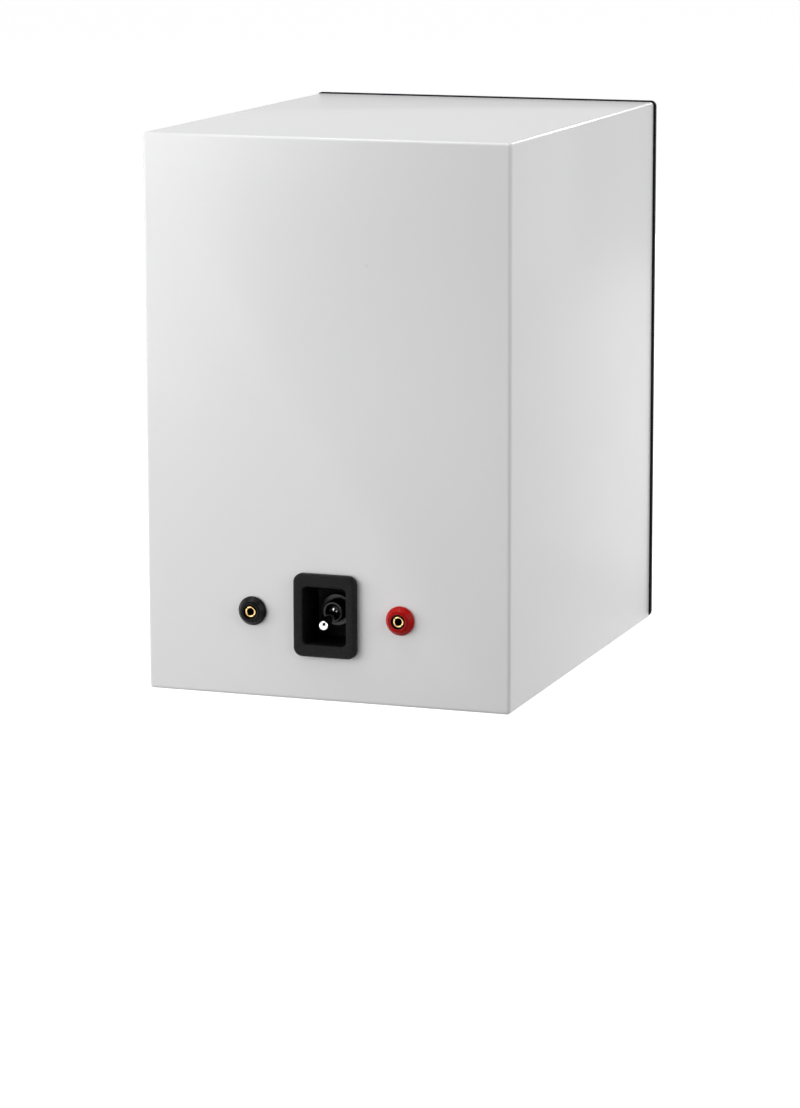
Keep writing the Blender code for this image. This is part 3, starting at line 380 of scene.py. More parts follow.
def rubber_finish():
    f = Finish("black_rubber", (0.016, 0.016, 0.017), 0.5)
    f.tint(f.noise(0.01, 3), (0.013, 0.013, 0.014), (0.022, 0.022, 0.023))
    f.rough(f.noise(0.004, 5), 0.42, 0.6)
    f.bump(f.noise(0.0006, 3), 0.00002, 0.5)
    f.set("Sheen Weight", 0.08)
    return f.material


def woven_finish(name, colour, thread):
    """Plain weave of a thread size, on Object coordinates across the piece's own disc."""
    f = Finish(name, colour, 0.65)
    bands = []
    for direction in ("X", "Z"):
        wave = f.add("ShaderNodeTexWave", wave_type="BANDS", bands_direction=direction, Scale=0.16 / thread)
        f.links.new(f.place, wave.inputs["Vector"])
        bands.append(wave.outputs["Fac"])
    cross = f.add("ShaderNodeMath", operation="MULTIPLY")
    f.links.new(bands[0], cross.inputs[0])
    f.links.new(bands[1], cross.inputs[1])
    f.tint(cross.outputs["Value"], [c * 0.7 for c in colour], [min(1, c * 1.25) for c in colour], 0.1, 0.9)
    f.rough(f.noise(0.003, 4), 0.55, 0.8)
    f.bump(cross.outputs["Value"], thread * 0.15, 0.6)
    return f.material


def winding_finish():
    """Close turns of enamelled copper wire."""
    f = Finish("copper_winding", (0.6, 0.22, 0.08), 0.3, 1.0)
    turns = f.add("ShaderNodeTexWave", wave_type="BANDS", bands_direction="Y", Scale=300.0)
    f.links.new(f.place, turns.inputs["Vector"])
    f.tint(turns.outputs["Fac"], (0.3, 0.1, 0.04), (0.72, 0.3, 0.12), 0.1, 0.7)
    f.rough(f.noise(0.002, 4), 0.22, 0.4)
    f.bump(turns.outputs["Fac"], 0.0002, 0.8)
    return f.material


def speckled_finish(name, first, second, size, roughness, bump=0.00004):
    f = Finish(name, first, roughness)
    spots = f.noise(size, 6, 0.7)
    f.tint(spots, first, second, 0.35, 0.7)
    f.rough(spots, roughness - 0.08, roughness + 0.08)
    f.bump(spots, bump, 0.6)
    return f.material


def make_finishes():
    return {
        "white_lacquer": lacquer_finish(),
        "black_cloth": cloth_finish(),
        "black_frame_plastic": grain_finish("black_frame_plastic", (0.018, 0.018, 0.018), 0.42),
        "black_rubber": rubber_finish(),
        "cast_basket": grain_finish("cast_basket", (0.02, 0.02, 0.021), 0.5, 0.0007, 0.00008),
        "cone_pulp": pulp_finish(),
        "spider_fabric": woven_finish("spider_fabric", (0.5, 0.34, 0.13), 0.0007),
        "copper_winding": winding_finish(),
        "plated_steel": turned_metal_finish("plated_steel", (0.62, 0.61, 0.58), 0.28),
        "black_screw": plated_finish("black_screw", (0.05, 0.05, 0.052), 0.35),
        "ferrite": speckled_finish("ferrite", (0.045, 0.045, 0.05), (0.09, 0.09, 0.095), 0.0008, 0.6),
        "silk_dome": woven_finish("silk_dome", (0.018, 0.018, 0.02), 0.00035),
        "cup_plastic": grain_finish("cup_plastic", (0.0045, 0.0045, 0.0047), 0.4, 0.0009, 0.0006, 0.11),
        "black_plastic": smooth_plastic_finish("black_plastic", (0.006, 0.006, 0.0065), 0.3, 0.1),
        "red_plastic": smooth_plastic_finish("red_plastic", (0.46, 0.006, 0.004), 0.3, 0.08),
        "gold_plate": plated_finish("gold_plate", (0.86, 0.58, 0.24), 0.16),
        # painted shade: dark bronze for the inside of the gold tube's bore, standing in for the shade deep in it
        "bore_painted_shade": plated_finish("bore_painted_shade", (0.1, 0.06, 0.025), 0.5),
        "chrome": plated_finish("chrome", (0.78, 0.78, 0.79), 0.06),
        # painted shade: the bushing's and switch nut's nickel plating is made near black for the shade of the dark
        # pocket they sit in
        "black_nickel": plated_finish("black_nickel", (0.035, 0.034, 0.033), 0.22),
        "circuit_board": speckled_finish("circuit_board", (0.01, 0.09, 0.03), (0.02, 0.16, 0.06),
                                         0.004, 0.35),
        "capacitor_film": smooth_plastic_finish("capacitor_film", (0.75, 0.52, 0.06), 0.3),
        "resistor_ceramic": speckled_finish("resistor_ceramic", (0.72, 0.7, 0.64), (0.85, 0.83, 0.78),
                                            0.0012, 0.7),
        "wadding": speckled_finish("wadding", (0.7, 0.7, 0.68), (0.9, 0.9, 0.88), 0.003, 0.9, 0.0015),
        "lead_sleeve": smooth_plastic_finish("lead_sleeve", (0.02, 0.02, 0.02), 0.4),
    }


def dress_nodes(finishes):
    """Give every CAD node the finish of its own slot."""
    for part in frame["record"]["subparts"]:
        ob = bpy.data.objects[part["node"]]
        ob.data.materials.clear()
        ob.data.materials.append(finishes[part["material_slot"]])


# ---- cabinet

EDGE_R = 2 * MM
PANEL_THROUGH = 20 * MM
PANELS = ("left_panel", "right_panel", "top_panel", "bottom_panel", "rear_panel", "front_baffle")


def box_into(bm, low, high):
    size, place = Vector(high) - Vector(low), (Vector(high) + Vector(low)) / 2
    scale = Matrix.Diagonal((*size, 1))
    return bmesh.ops.create_cube(bm, size=1, matrix=Matrix.Translation(place) @ scale)["verts"]


def driver_hole(flange, hollow_r):
    """A rebate for a driver's flange and a clear hole behind it, as a turned cutter."""
    low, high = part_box(flange)
    place = middle_of(flange)
    flange_r = (high.x - low.x) / 2 + GAP
    floor = FLANGE_T[flange] + 2 * GAP
    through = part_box("front_baffle")[1].y - FRONT + REACH
    bm = bmesh.new()
    outline = [(0, -REACH), (flange_r, -REACH), (flange_r, floor), (hollow_r, floor),
               (hollow_r, through), (0, through)]
    turn(bm, outline, (0, FRONT, place.z), FINE)
    return bm


FLANGE_T = {"woofer_basket": 4 * MM, "tweeter_faceplate": 4 * MM}
WOOFER_HOLLOW_R = 74.1 * MM
TWEETER_HOLLOW_R = 36.6 * MM


def round_holes(nodes, start, end, spare=GAP):
    """One cutter with a round hole along Y for each node that stands in a panel."""
    bm = bmesh.new()
    for node, radius in nodes:
        place = middle_of(node)
        turn(bm, [(0, start), (radius + spare, start), (radius + spare, end), (0, end)],
             (place.x, 0, place.z), COARSE)
    return bm


def make_cabinet(finish):
    """One lacquered box: rounded outside, hollow inside, with a hole for each thing that passes through."""
    boxes = [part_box(node) for node in PANELS]
    low = Vector([min(box[0][i] for box in boxes) for i in range(3)])
    high = Vector([max(box[1][i] for box in boxes) for i in range(3)])
    bm = bmesh.new()
    box_into(bm, low, high)
    bmesh.ops.bevel(bm, geom=bm.edges[:], offset=EDGE_R, segments=EDGE_SIDES, profile=0.5,
                    affect="EDGES", material=-1)
    inner_low = Vector((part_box("left_panel")[1].x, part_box("front_baffle")[1].y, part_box("bottom_panel")[1].z))
    inner_high = Vector((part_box("right_panel")[0].x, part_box("rear_panel")[0].y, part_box("top_panel")[0].z))
    hollow = bmesh.new()
    box_into(hollow, inner_low, inner_high)
    cabinet = piece_from("cabinet", bm, finish, "cabinet")

    screws = [(node, SCREW["r"]) for node in WOOFER_SCREWS + TWEETER_SCREWS]
    cups = [(f"grille_cup_{i}", PEG["cup_r"]) for i in range(1, 5)]
    recess = bmesh.new()
    place = middle_of("switch_cup")
    opening = (CUP["body_w"] + 2 * GAP, CUP["body_h"] + 2 * GAP, CUP["body_r"] + GAP)
    rings = [rectangle_ring(*opening, depth) for depth in (REAR - PANEL_THROUGH, REAR + REACH)]
    draw_rings(recess, rings, (place.x, 0, place.z))
    sockets = [(f"{colour}_socket", SOCKET["shank_r"]) for colour in ("black", "red")]
    carve(cabinet, [
        hollow,
        driver_hole("woofer_basket", WOOFER_HOLLOW_R),
        driver_hole("tweeter_faceplate", TWEETER_HOLLOW_R),
        round_holes(cups, FRONT - REACH, FRONT + PEG["cup_depth"] + 2 * GAP),
        round_holes(screws, FRONT - REACH, FRONT + SCREW["length"] + GAP),
        recess,
        round_holes(sockets, REAR - PANEL_THROUGH, REAR + REACH),
    ])
    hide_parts(*PANELS)


# ---- switch

CUP = {"mouth_w": 24.5 * MM, "mouth_h": 31.4 * MM, "mouth_r": 2.5 * MM,
       "body_w": 28.5 * MM, "body_h": 35.4 * MM, "body_r": 4.5 * MM,
       "corner_r": 5 * MM, "edge_r": 1.8 * MM, "lip_r": 0.9 * MM, "floor_r": 2.2 * MM, "depth": 20 * MM}
CUP_EDGE_SIDES = 6
BUSHING_R = 5.9 * MM


def make_cup(finish):
    """A bezel with rounded edges, a pocket with a soft lip, and a hole in its floor for the bushing."""
    low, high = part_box("switch_cup")
    place = (middle_of("switch_cup").x, REAR, middle_of("switch_cup").z)
    width, height = high.x - low.x, high.z - low.z
    proud, back = high.y - REAR, low.y - REAR
    hole_r = BUSHING_R + GAP
    bm = bmesh.new()
    hole = (2 * hole_r, 2 * hole_r, hole_r)
    body = (CUP["body_w"], CUP["body_h"], CUP["body_r"])
    rings = [(*hole, back), (*body, back), (*body, GAP), (width, height, CUP["corner_r"], GAP)]
    for step in range(CUP_EDGE_SIDES + 1):
        angle = step / CUP_EDGE_SIDES * pi / 2
        shrink = CUP["edge_r"] * (1 - cos(angle))
        rings.append((width - 2 * shrink, height - 2 * shrink, CUP["corner_r"] - shrink,
                      proud - CUP["edge_r"] * (1 - sin(angle))))
    for step in range(CUP_EDGE_SIDES + 1):
        angle = step / CUP_EDGE_SIDES * pi / 2
        spread = CUP["lip_r"] * (1 - sin(angle))
        rings.append((CUP["mouth_w"] + 2 * spread, CUP["mouth_h"] + 2 * spread, CUP["mouth_r"] + spread,
                      proud - CUP["lip_r"] * (1 - cos(angle))))
    for step in range(CUP_EDGE_SIDES + 1):
        angle = step / CUP_EDGE_SIDES * pi / 2
        shrink = CUP["floor_r"] * (1 - cos(angle))
        rings.append((CUP["mouth_w"] - 2 * shrink, CUP["mouth_h"] - 2 * shrink, CUP["mouth_r"] - shrink,
                      -CUP["depth"] + CUP["floor_r"] * (1 - sin(angle))))
    rings.append((*hole, -CUP["depth"]))
    draw_rings(bm, [rectangle_ring(*ring) for ring in rings], place, closed=True)
    cup = piece_from("cup", bm, finish, "cabinet", 50)
    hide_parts("switch_cup")


THREAD_PITCH = 0.8 * MM
THREAD_DEPTH = 0.35 * MM
BUSHING = {"bore_r": 4.2 * MM, "chamfer": 0.3 * MM, "lip_r": 0.5 * MM, "floor": 1.5 * MM}
NUT_SIDES = 6
SWITCH_NUT = {"flats_r": 7 * MM, "bore_r": BUSHING_R + 0.2 * MM, "chamfer": 0.35 * MM}
SOCKET_NUT = {"flats_r": 6.45 * MM, "bore_r": 5.0 * MM, "chamfer": 0.3 * MM}


def make_bushing(finish):
    """A threaded barrel with a chamfered face and an open bore."""
    low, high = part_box("switch_bushing")
    place = (middle_of("switch_bushing").x, 0, middle_of("switch_bushing").z)
    bore_r, chamfer, lip_r = BUSHING["bore_r"], BUSHING["chamfer"], BUSHING["lip_r"]
    root_r = BUSHING_R - THREAD_DEPTH
    outline = [(0, low.y), (root_r, low.y)]
    depth = low.y + THREAD_PITCH
    while depth < high.y - 1.5 * THREAD_PITCH:
        outline += [(root_r, depth), (BUSHING_R, depth + THREAD_PITCH / 2)]
        depth += THREAD_PITCH
    outline += [(root_r, depth), (root_r, high.y - chamfer), (root_r - chamfer, high.y)]
    outline += arc((bore_r + lip_r, high.y - lip_r), lip_r, 90, 180, 5)
    floor = low.y + BUSHING["floor"]
    outline += [(bore_r, floor), (0, floor)]
    bushing = turned("bushing", outline, place, finish, "cabinet", MEDIUM, 25)
    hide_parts("switch_bushing")


def hexagon_nut(name, node, flats_r, bore_r, finish, chamfer):
    """A hexagon nut along Y whose corners are cut back to a circle at both faces."""
    low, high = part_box(node)
    place = middle_of(node)
    half = (high.y - low.y) / 2
    corner_r = flats_r / cos(pi / NUT_SIDES)
    bm = bmesh.new()
    rings = [polygon_ring(bore_r, -half), polygon_ring(corner_r, -half, NUT_SIDES),
             polygon_ring(corner_r, half, NUT_SIDES), polygon_ring(bore_r, half)]
    draw_rings(bm, rings, place, closed=True)
    nut = piece_from(name, bm, finish, "cabinet", 25)
    cutters = []
    for way in (-1, 1):
        cutter = bmesh.new()
        slope = [(flats_r - chamfer, way * (half + MM)), (flats_r - chamfer, way * half),
                 (corner_r + chamfer, way * (half - chamfer)), (corner_r + chamfer, way * (half + MM))]
        turn(cutter, slope, place)
        cutters.append(cutter)
    carve(nut, cutters, sharp=25)
    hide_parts(node)


LEVER_TILT = radians(14)
LEVER = {"ball_r": 3.6 * MM, "neck_r": 1.9 * MM, "neck_at": 5.5 * MM, "neck_l": MM, "tip_r": 3.1 * MM,
         "length": 22 * MM, "taper_power": 0.8}
BALL_SIDES = 16
TAPER_SIDES = 10
TIP_SIDES = 14


def make_lever(finish):
    """A plated bat: a ball in the bushing, a slim neck, and a taper out to a round end."""
    joint = next(j for j in frame["joints"] if j["name"] == "toggle_tilt")
    pivot = Vector(joint["pos_m"])
    ball, neck, tip = LEVER["ball_r"], LEVER["neck_r"], LEVER["tip_r"]
    start = atan2(neck, hypot(ball, neck))
    outline = [(0, -ball)]
    outline += [(ball * sin(a), -ball * cos(a)) for a in
                ((pi - start) * step / BALL_SIDES for step in range(1, BALL_SIDES + 1))]
    outline += [(neck, LEVER["neck_at"] - LEVER["neck_l"]), (neck, LEVER["neck_at"])]
    end = LEVER["length"] - tip
    for step in range(1, TAPER_SIDES):
        share = step / TAPER_SIDES
        outline.append((neck + (tip - neck) * share ** LEVER["taper_power"],
                        LEVER["neck_at"] + (end - LEVER["neck_at"]) * share))
    outline += arc((0, end), tip, 0, 90, TIP_SIDES)[:-1] + [(0, LEVER["length"])]
    bm = bmesh.new()
    turn(bm, outline, (0, 0, 0))
    bmesh.ops.rotate(bm, verts=bm.verts, cent=(0, 0, 0), matrix=Matrix.Rotation(-LEVER_TILT, 3, "X"))
    bmesh.ops.translate(bm, verts=bm.verts, vec=pivot)
    lever = piece_from("lever", bm, finish, "toggle", 40)
    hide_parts("switch_lever")


# ---- sockets

# How far past a bore or well the faces painted dark as shade may lie
WELL_SHADE_REACH = 0.05 * MM
BORE_SHADE_REACH = 0.02 * MM
SOCKET = {"bore_r": 3.3 * MM, "shank_r": 4.8 * MM, "base_r": 7.9 * MM, "face_r": 5.1 * MM,
          "well_r": 4 * MM, "rim": 0.9 * MM, "edge_r": 0.35 * MM, "groove": 0.35 * MM, "well": 1.6 * MM}
TUBE = {"r": 3 * MM, "bore_r": 2 * MM, "bore": 18 * MM, "point": MM, "edge_r": 0.45 * MM,
        "slot": 0.5 * MM, "slot_depth": 7 * MM, "slot_turn": radians(45)}


def paint_shade_inside(piece, place, radius, finish):
    """Give the faces of a turned piece that lie within a radius of its axis a darker finish of their own, as
    painted shade in a deep recess.
    """
    piece.data.materials.append(finish)
    for polygon in piece.data.polygons:
        if hypot(polygon.center.x - place[0], polygon.center.z - place[2]) < radius:
            polygon.material_index = 1


def make_socket(colour, finishes):
    """A cone-shaped insulator with soft edges and a well painted black as shade, and a slotted spring tube in it
    whose bore is painted dark as shade.
    """
    low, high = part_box(f"{colour}_socket")
    place = (middle_of(f"{colour}_socket").x, REAR, middle_of(f"{colour}_socket").z)
    back, face = low.y - REAR, high.y - REAR
    r = SOCKET["edge_r"]
    shoulder_r, shoulder = SOCKET["face_r"] + SOCKET["groove"], face - SOCKET["groove"]
    lean = 90 - atan2(shoulder - SOCKET["rim"], SOCKET["base_r"] - shoulder_r) * 180 / pi
    outline = [(SOCKET["bore_r"], back), (SOCKET["shank_r"], back), (SOCKET["shank_r"], GAP),
               (SOCKET["base_r"] - GAP, GAP), (SOCKET["base_r"], 2 * GAP)]
    outline += arc((SOCKET["base_r"] - r, SOCKET["rim"]), r, 0, lean, SMALL_ARC)
    outline += arc((shoulder_r, shoulder - r), r, lean, 110, SMALL_ARC)
    outline += [(SOCKET["face_r"], shoulder - SOCKET["groove"])]
    outline += arc((SOCKET["face_r"] - r, face - r), r, 10, 90, SMALL_ARC)
    outline += arc((SOCKET["well_r"] + r, face - r), r, 90, 180, SMALL_ARC)
    outline += [(SOCKET["well_r"], face - SOCKET["well"]), (SOCKET["bore_r"], face - SOCKET["well"])]
    body = turned(f"{colour}_insulator", outline, place, finishes[f"{colour}_plastic"], "cabinet",
                  MEDIUM, 25)
    # The well's faces get black plastic: on the red insulator this is painted shade for the narrow well, on the
    # black one it is its own colour
    paint_shade_inside(body, place, SOCKET["well_r"] + WELL_SHADE_REACH, finishes["black_plastic"])
    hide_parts(f"{colour}_socket")

    low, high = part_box(f"{colour}_socket_tube")
    back, face = low.y - REAR, high.y - REAR
    edge_r = TUBE["edge_r"]
    outline = [(0, back), (TUBE["r"], back)]
    outline += arc((TUBE["r"] - edge_r, face - edge_r), edge_r, 0, 90, SMALL_ARC)
    outline += arc((TUBE["bore_r"] + edge_r, face - edge_r), edge_r, 90, 180, SMALL_ARC)
    outline += [(TUBE["bore_r"], face - TUBE["bore"]), (0, face - TUBE["bore"] - TUBE["point"])]
    tube = turned(f"{colour}_tube", outline, place, finishes["gold_plate"], "cabinet", MEDIUM, 25)
    slots = bmesh.new()
    box_into(slots, (-TUBE["slot"] / 2, face - TUBE["slot_depth"], -TUBE["r"] - REACH),
             (TUBE["slot"] / 2, face + REACH, TUBE["r"] + REACH))
    bmesh.ops.rotate(slots, verts=slots.verts, cent=(0, 0, 0),
                     matrix=Matrix.Rotation(TUBE["slot_turn"], 3, "Y"))
    bmesh.ops.translate(slots, verts=slots.verts, vec=place)
    # The bore's faces get the dark bronze: painted shade inside the gold tube
    paint_shade_inside(tube, place, TUBE["bore_r"] + BORE_SHADE_REACH, finishes["bore_painted_shade"])
    carve(tube, [slots])
    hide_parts(f"{colour}_socket_tube")


# ---- grille

CLOTH_T = 0.5 * MM
GRILLE_EDGE_R = 6 * MM
GRILLE_CORNER_R = 3.2 * MM
CORNER_SHRINK = 0.25
CLOTH_EDGE_SIDES = 10
FRAME_INSET = 0.9 * MM
BAR_W = 14 * MM
WINDOW_R = 12 * MM
WINDOW_FROM, WINDOW_TO = -20 * MM, 5 * MM
PEG = {"r": 3.5 * MM, "length": 9 * MM, "end_r": MM, "cup_r": 5.2 * MM, "cup_depth": 12 * MM,
       "lip": 0.5 * MM}


def grille_rings(inset):
    """Rings from the grille's rear edge, round its front edge, to its flat front."""
    low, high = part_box("grille_cloth")
    width, height = high.x - low.x - 2 * inset, high.z - low.z - 2 * inset
    deep, edge_r = high.y - low.y, GRILLE_EDGE_R - inset
    rings = [rectangle_ring(width, height, GRILLE_CORNER_R, depth)
             for depth in (deep, (deep + GRILLE_EDGE_R) / 2)]
    for step in range(CLOTH_EDGE_SIDES + 1):
        angle = step / CLOTH_EDGE_SIDES * pi / 2
        shrink = edge_r * (1 - cos(angle))
        rings.append(rectangle_ring(width - 2 * shrink, height - 2 * shrink,
                                    GRILLE_CORNER_R - shrink * CORNER_SHRINK,
                                    inset + edge_r * (1 - sin(angle))))
    return rings, Vector(((low.x + high.x) / 2, low.y, (low.z + high.z) / 2))


def make_cloth(finish):
    """One sheet of knit, stretched over the frame's front and round its edges."""
    rings, place = grille_rings(0)
    bm = bmesh.new()
    draw_rings(bm, rings, place, caps=False)
    front = [edge for edge in bm.edges if edge.is_boundary and edge.verts[0].co.y < place.y + MM]
    bmesh.ops.holes_fill(bm, edges=front, sides=0)
    uv = bm.loops.layers.uv.new("weave")
    for face in bm.faces:
        sideways = abs(face.normal.x) > abs(face.normal.z) and abs(face.normal.y) < 0.99
        upright = abs(face.normal.z) > abs(face.normal.x) and abs(face.normal.y) < 0.99
        for corner in face.loops:
            point = corner.vert.co
            back = point.y - place.y
            corner[uv].uv = (point.x + copysign(back * sideways, point.x),
                             point.z + copysign(back * upright, point.z - place.z))
    cloth = piece_from("cloth", bm, finish, "grille", 60)
    if max(cloth.data.polygons, key=lambda polygon: polygon.area).normal.y > 0:
        cloth.data.flip_normals()
    thickness = cloth.modifiers.new("cloth thickness", "SOLIDIFY")
    thickness.thickness = CLOTH_T
    thickness.offset = -1
    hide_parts("grille_cloth")


def make_grille_frame(finish, cup_finish):
    """A moulded frame with two rounded windows and four pegs, and the cups that take the pegs."""
    rings, place = grille_rings(FRAME_INSET)
    bm = bmesh.new()
    draw_rings(bm, rings, place)
    frame_piece = piece_from("grille_body", bm, finish, "grille", 40)
    low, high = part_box("left_panel")[0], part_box("right_panel")[1]
    woofer_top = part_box("woofer_basket")[1].z
    tweeter_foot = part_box("tweeter_faceplate")[0].z
    split = (woofer_top + tweeter_foot) / 2
    half_w = (high.x - low.x) / 2 - BAR_W
    windows = []
    for foot, top in ((BAR_W, split - BAR_W / 2), (split + BAR_W / 2, high.z - BAR_W)):
        window = bmesh.new()
        draw_rings(window, [rectangle_ring(2 * half_w, top - foot, WINDOW_R, depth)
                            for depth in (FRONT + WINDOW_FROM, FRONT + WINDOW_TO)],
                   (0, 0, (foot + top) / 2))
        windows.append(window)
    carve(frame_piece, windows)
    pegs = []
    for number in range(1, 5):
        cup = middle_of(f"grille_cup_{number}")
        peg = bmesh.new()
        end_r = PEG["end_r"]
        outline = [(0, -REACH), (PEG["r"], -REACH)]
        outline += arc((PEG["r"] - end_r, PEG["length"] - end_r), end_r, 0, 90, EDGE_SIDES)
        outline += [(0, PEG["length"])]
        turn(peg, outline, (cup.x, FRONT, cup.z), COARSE)
        pegs.append(peg)
        bore, lip = PEG["r"] + GAP, PEG["lip"]
        outline = [(0, PEG["cup_depth"]), (PEG["cup_r"], PEG["cup_depth"]), (PEG["cup_r"], GAP + lip)]
        outline += arc((PEG["cup_r"] - lip, GAP + lip), lip, 0, -90, SMALL_ARC)[1:]
        outline += arc((bore + lip, GAP + lip), lip, -90, -180, SMALL_ARC)
        outline += [(bore, PEG["length"] + GAP), (0, PEG["length"] + GAP)]
        piece = turned(f"peg_cup_{number}", outline, (cup.x, FRONT, cup.z), cup_finish, "cabinet", COARSE)
        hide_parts(f"grille_cup_{number}")
    carve(frame_piece, pegs, "UNION")
    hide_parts("grille_frame")


# ---- drivers

WOOFER = {"r": 83 * MM, "flange_t": 4 * MM, "flange_edge": 0.5 * MM, "lip": 8 * MM, "inner_r": 71 * MM,
          "seat": 3 * MM, "wall": 2.5 * MM, "window_w": 36 * MM, "windows": 3, "depth": 60 * MM,
          "spider_r": 45 * MM, "spider_depth": 46 * MM, "shelf": 5 * MM, "cone_r": 62 * MM,
          "cone_edge": 4 * MM, "neck": 34 * MM, "cone_t": 1.2 * MM, "flare": 4 * MM,
          "coil_r": 19.2 * MM, "coil_t": 0.9 * MM, "cap_r": 25 * MM, "cap_h": 8 * MM, "cap_t": MM,
          "surround_t": 0.9 * MM, "clear": 0.8 * MM}
TWEETER = {"r": 47 * MM, "plate_t": 4 * MM, "horn_r": 27 * MM, "dome_r": 12.6 * MM, "dome_h": 6.5 * MM,
           "dome_t": 0.7 * MM, "dome_depth": 4 * MM, "surround_w": 3 * MM, "throat_t": MM,
           "plate_edge": 0.4 * MM}
SCREW = {"r": 1.8 * MM, "length": 16 * MM, "head_r": 3.6 * MM, "head_t": 2 * MM, "crown": 0.7 * MM,
         "socket_r": 1.7 * MM, "socket_mouth_r": 1.836 * MM, "socket_bevel": 0.15 * MM,
         "socket_depth": 1.2 * MM, "point_r": 0.9 * MM, "point": MM}
CROWN_SIDES = 6
CURVE_STEPS = 24
WOOFER_SCREWS = [f"woofer_screw_{i}" for i in range(1, 5)]
TWEETER_SCREWS = [f"tweeter_screw_{i}" for i in range(1, 4)]


def make_screws(finish):
    """Pan-head screws with a hexagon socket."""
    for node in WOOFER_SCREWS + TWEETER_SCREWS:
        place = middle_of(node)
        top = -SCREW["head_t"]
        rings = [polygon_ring(SCREW["point_r"], SCREW["length"]),
                 polygon_ring(SCREW["r"], SCREW["length"] - SCREW["point"]),
                 polygon_ring(SCREW["r"], 0), polygon_ring(SCREW["head_r"], 0)]
        for step in range(CROWN_SIDES + 1):
            angle = step / CROWN_SIDES * pi / 2
            rings.append(polygon_ring(SCREW["head_r"] - SCREW["crown"] * (1 - cos(angle)),
                                      top + SCREW["crown"] * (1 - sin(angle))))
        rings += [polygon_ring(SCREW["socket_mouth_r"], top, NUT_SIDES),
                  polygon_ring(SCREW["socket_r"], top + SCREW["socket_bevel"], NUT_SIDES),
                  polygon_ring(SCREW["socket_r"], top + SCREW["socket_depth"], NUT_SIDES)]
        bm = bmesh.new()
        draw_rings(bm, rings, (place.x, FRONT, place.z))
        screw = piece_from(node.replace("screw", "bolt"), bm, finish, "cabinet", 30)
        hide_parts(node)


def screw_holes(nodes, depth):
    bm = bmesh.new()
    for node in nodes:
        place = middle_of(node)
        r = SCREW["r"] + GAP
        turn(bm, [(0, -REACH), (r, -REACH), (r, depth), (0, depth)], (place.x, FRONT, place.z), COARSE)
    return bm


def make_basket(finish):
    """A cast basket: a flange with a soft rim, a step for the surround, and six windows in its side."""
    w = WOOFER
    back = GAP + w["flange_t"]
    side_r, pot_r = w["spider_r"] + GAP, w["spider_r"] - w["shelf"]
    shelf = w["spider_depth"] + MM + 2 * GAP
    hole_r = w["coil_r"] + w["coil_t"] + w["clear"]
    outline = [(w["r"], GAP), (w["r"], back), (w["inner_r"] + w["wall"], back),
               (side_r + w["wall"], w["spider_depth"]), (side_r + w["wall"], shelf + w["wall"]),
               (pot_r + w["wall"], shelf + w["wall"]), (pot_r + w["wall"], w["depth"]),
               (hole_r, w["depth"]), (hole_r, w["depth"] - w["wall"]), (pot_r, w["depth"] - w["wall"]),
               (pot_r, shelf), (side_r, shelf),
               (side_r, w["spider_depth"]), (w["inner_r"], back), (w["inner_r"], w["seat"]),
               (w["r"] - w["lip"], w["seat"]), (w["r"] - w["lip"], GAP)]
    place = (0, FRONT, middle_of("woofer_basket").z)
    basket = turned("basket", outline, place, finish, "cabinet", FINE, 30, w["flange_edge"])
    cutters = [screw_holes(WOOFER_SCREWS, w["flange_t"] + REACH)]
    for number in range(w["windows"]):
        window = bmesh.new()
        box_into(window, (-w["r"], w["flange_t"] + 2 * w["wall"], -w["window_w"] / 2),
                 (w["r"], w["spider_depth"] - 2 * w["wall"], w["window_w"] / 2))
        bmesh.ops.rotate(window, verts=window.verts, cent=(0, 0, 0),
                         matrix=Matrix.Rotation(pi * number / w["windows"], 3, "Y"))
        bmesh.ops.translate(window, verts=window.verts, vec=place)
        cutters.append(window)
    carve(basket, cutters)
    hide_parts("woofer_basket")


def cone_depth(radius):
    """Depth of the cone's front face, bowed like pressed paper."""
    neck = WOOFER["coil_r"] + WOOFER["coil_t"] + GAP
    share = (WOOFER["cone_r"] - radius) / (WOOFER["cone_r"] - neck)
    straight = WOOFER["cone_edge"] + share * (WOOFER["neck"] - WOOFER["cone_edge"])
    return straight - WOOFER["flare"] * sin(pi * share)


def strip(points, thickness):
    """A closed outline: the points, and the same points back again at a depth further in."""
    return points + [(radius, depth + thickness) for radius, depth in reversed(points)]


def shallow_dome(radius, height, base):
    """Points from the crown of a dome, in front of its base, out to its rim."""
    angles = (step / CURVE_STEPS * pi / 2 for step in range(CURVE_STEPS))
    points = [(radius * cos(angle), base - height * sin(angle)) for angle in angles]
    return [(0, base - height)] + points[::-1]


def make_surround(name, node, outline, place, finish):
    """A ring of flexible rubber, turned in its settled shape, from the frame at its outer edge to the diaphragm at
    its inner edge.
    """
    ring = turned(name, outline, place, finish, None, FINE, 50)
    settled = [v.co.copy() for v in ring.data.vertices]
    for v in ring.data.vertices:
        v.co = (hypot(v.co.x - place[0], v.co.z - place[2]), 0, 0)
    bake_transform(ring)
    for v, point in zip(ring.data.vertices, settled):
        v.co = point
    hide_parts(node)


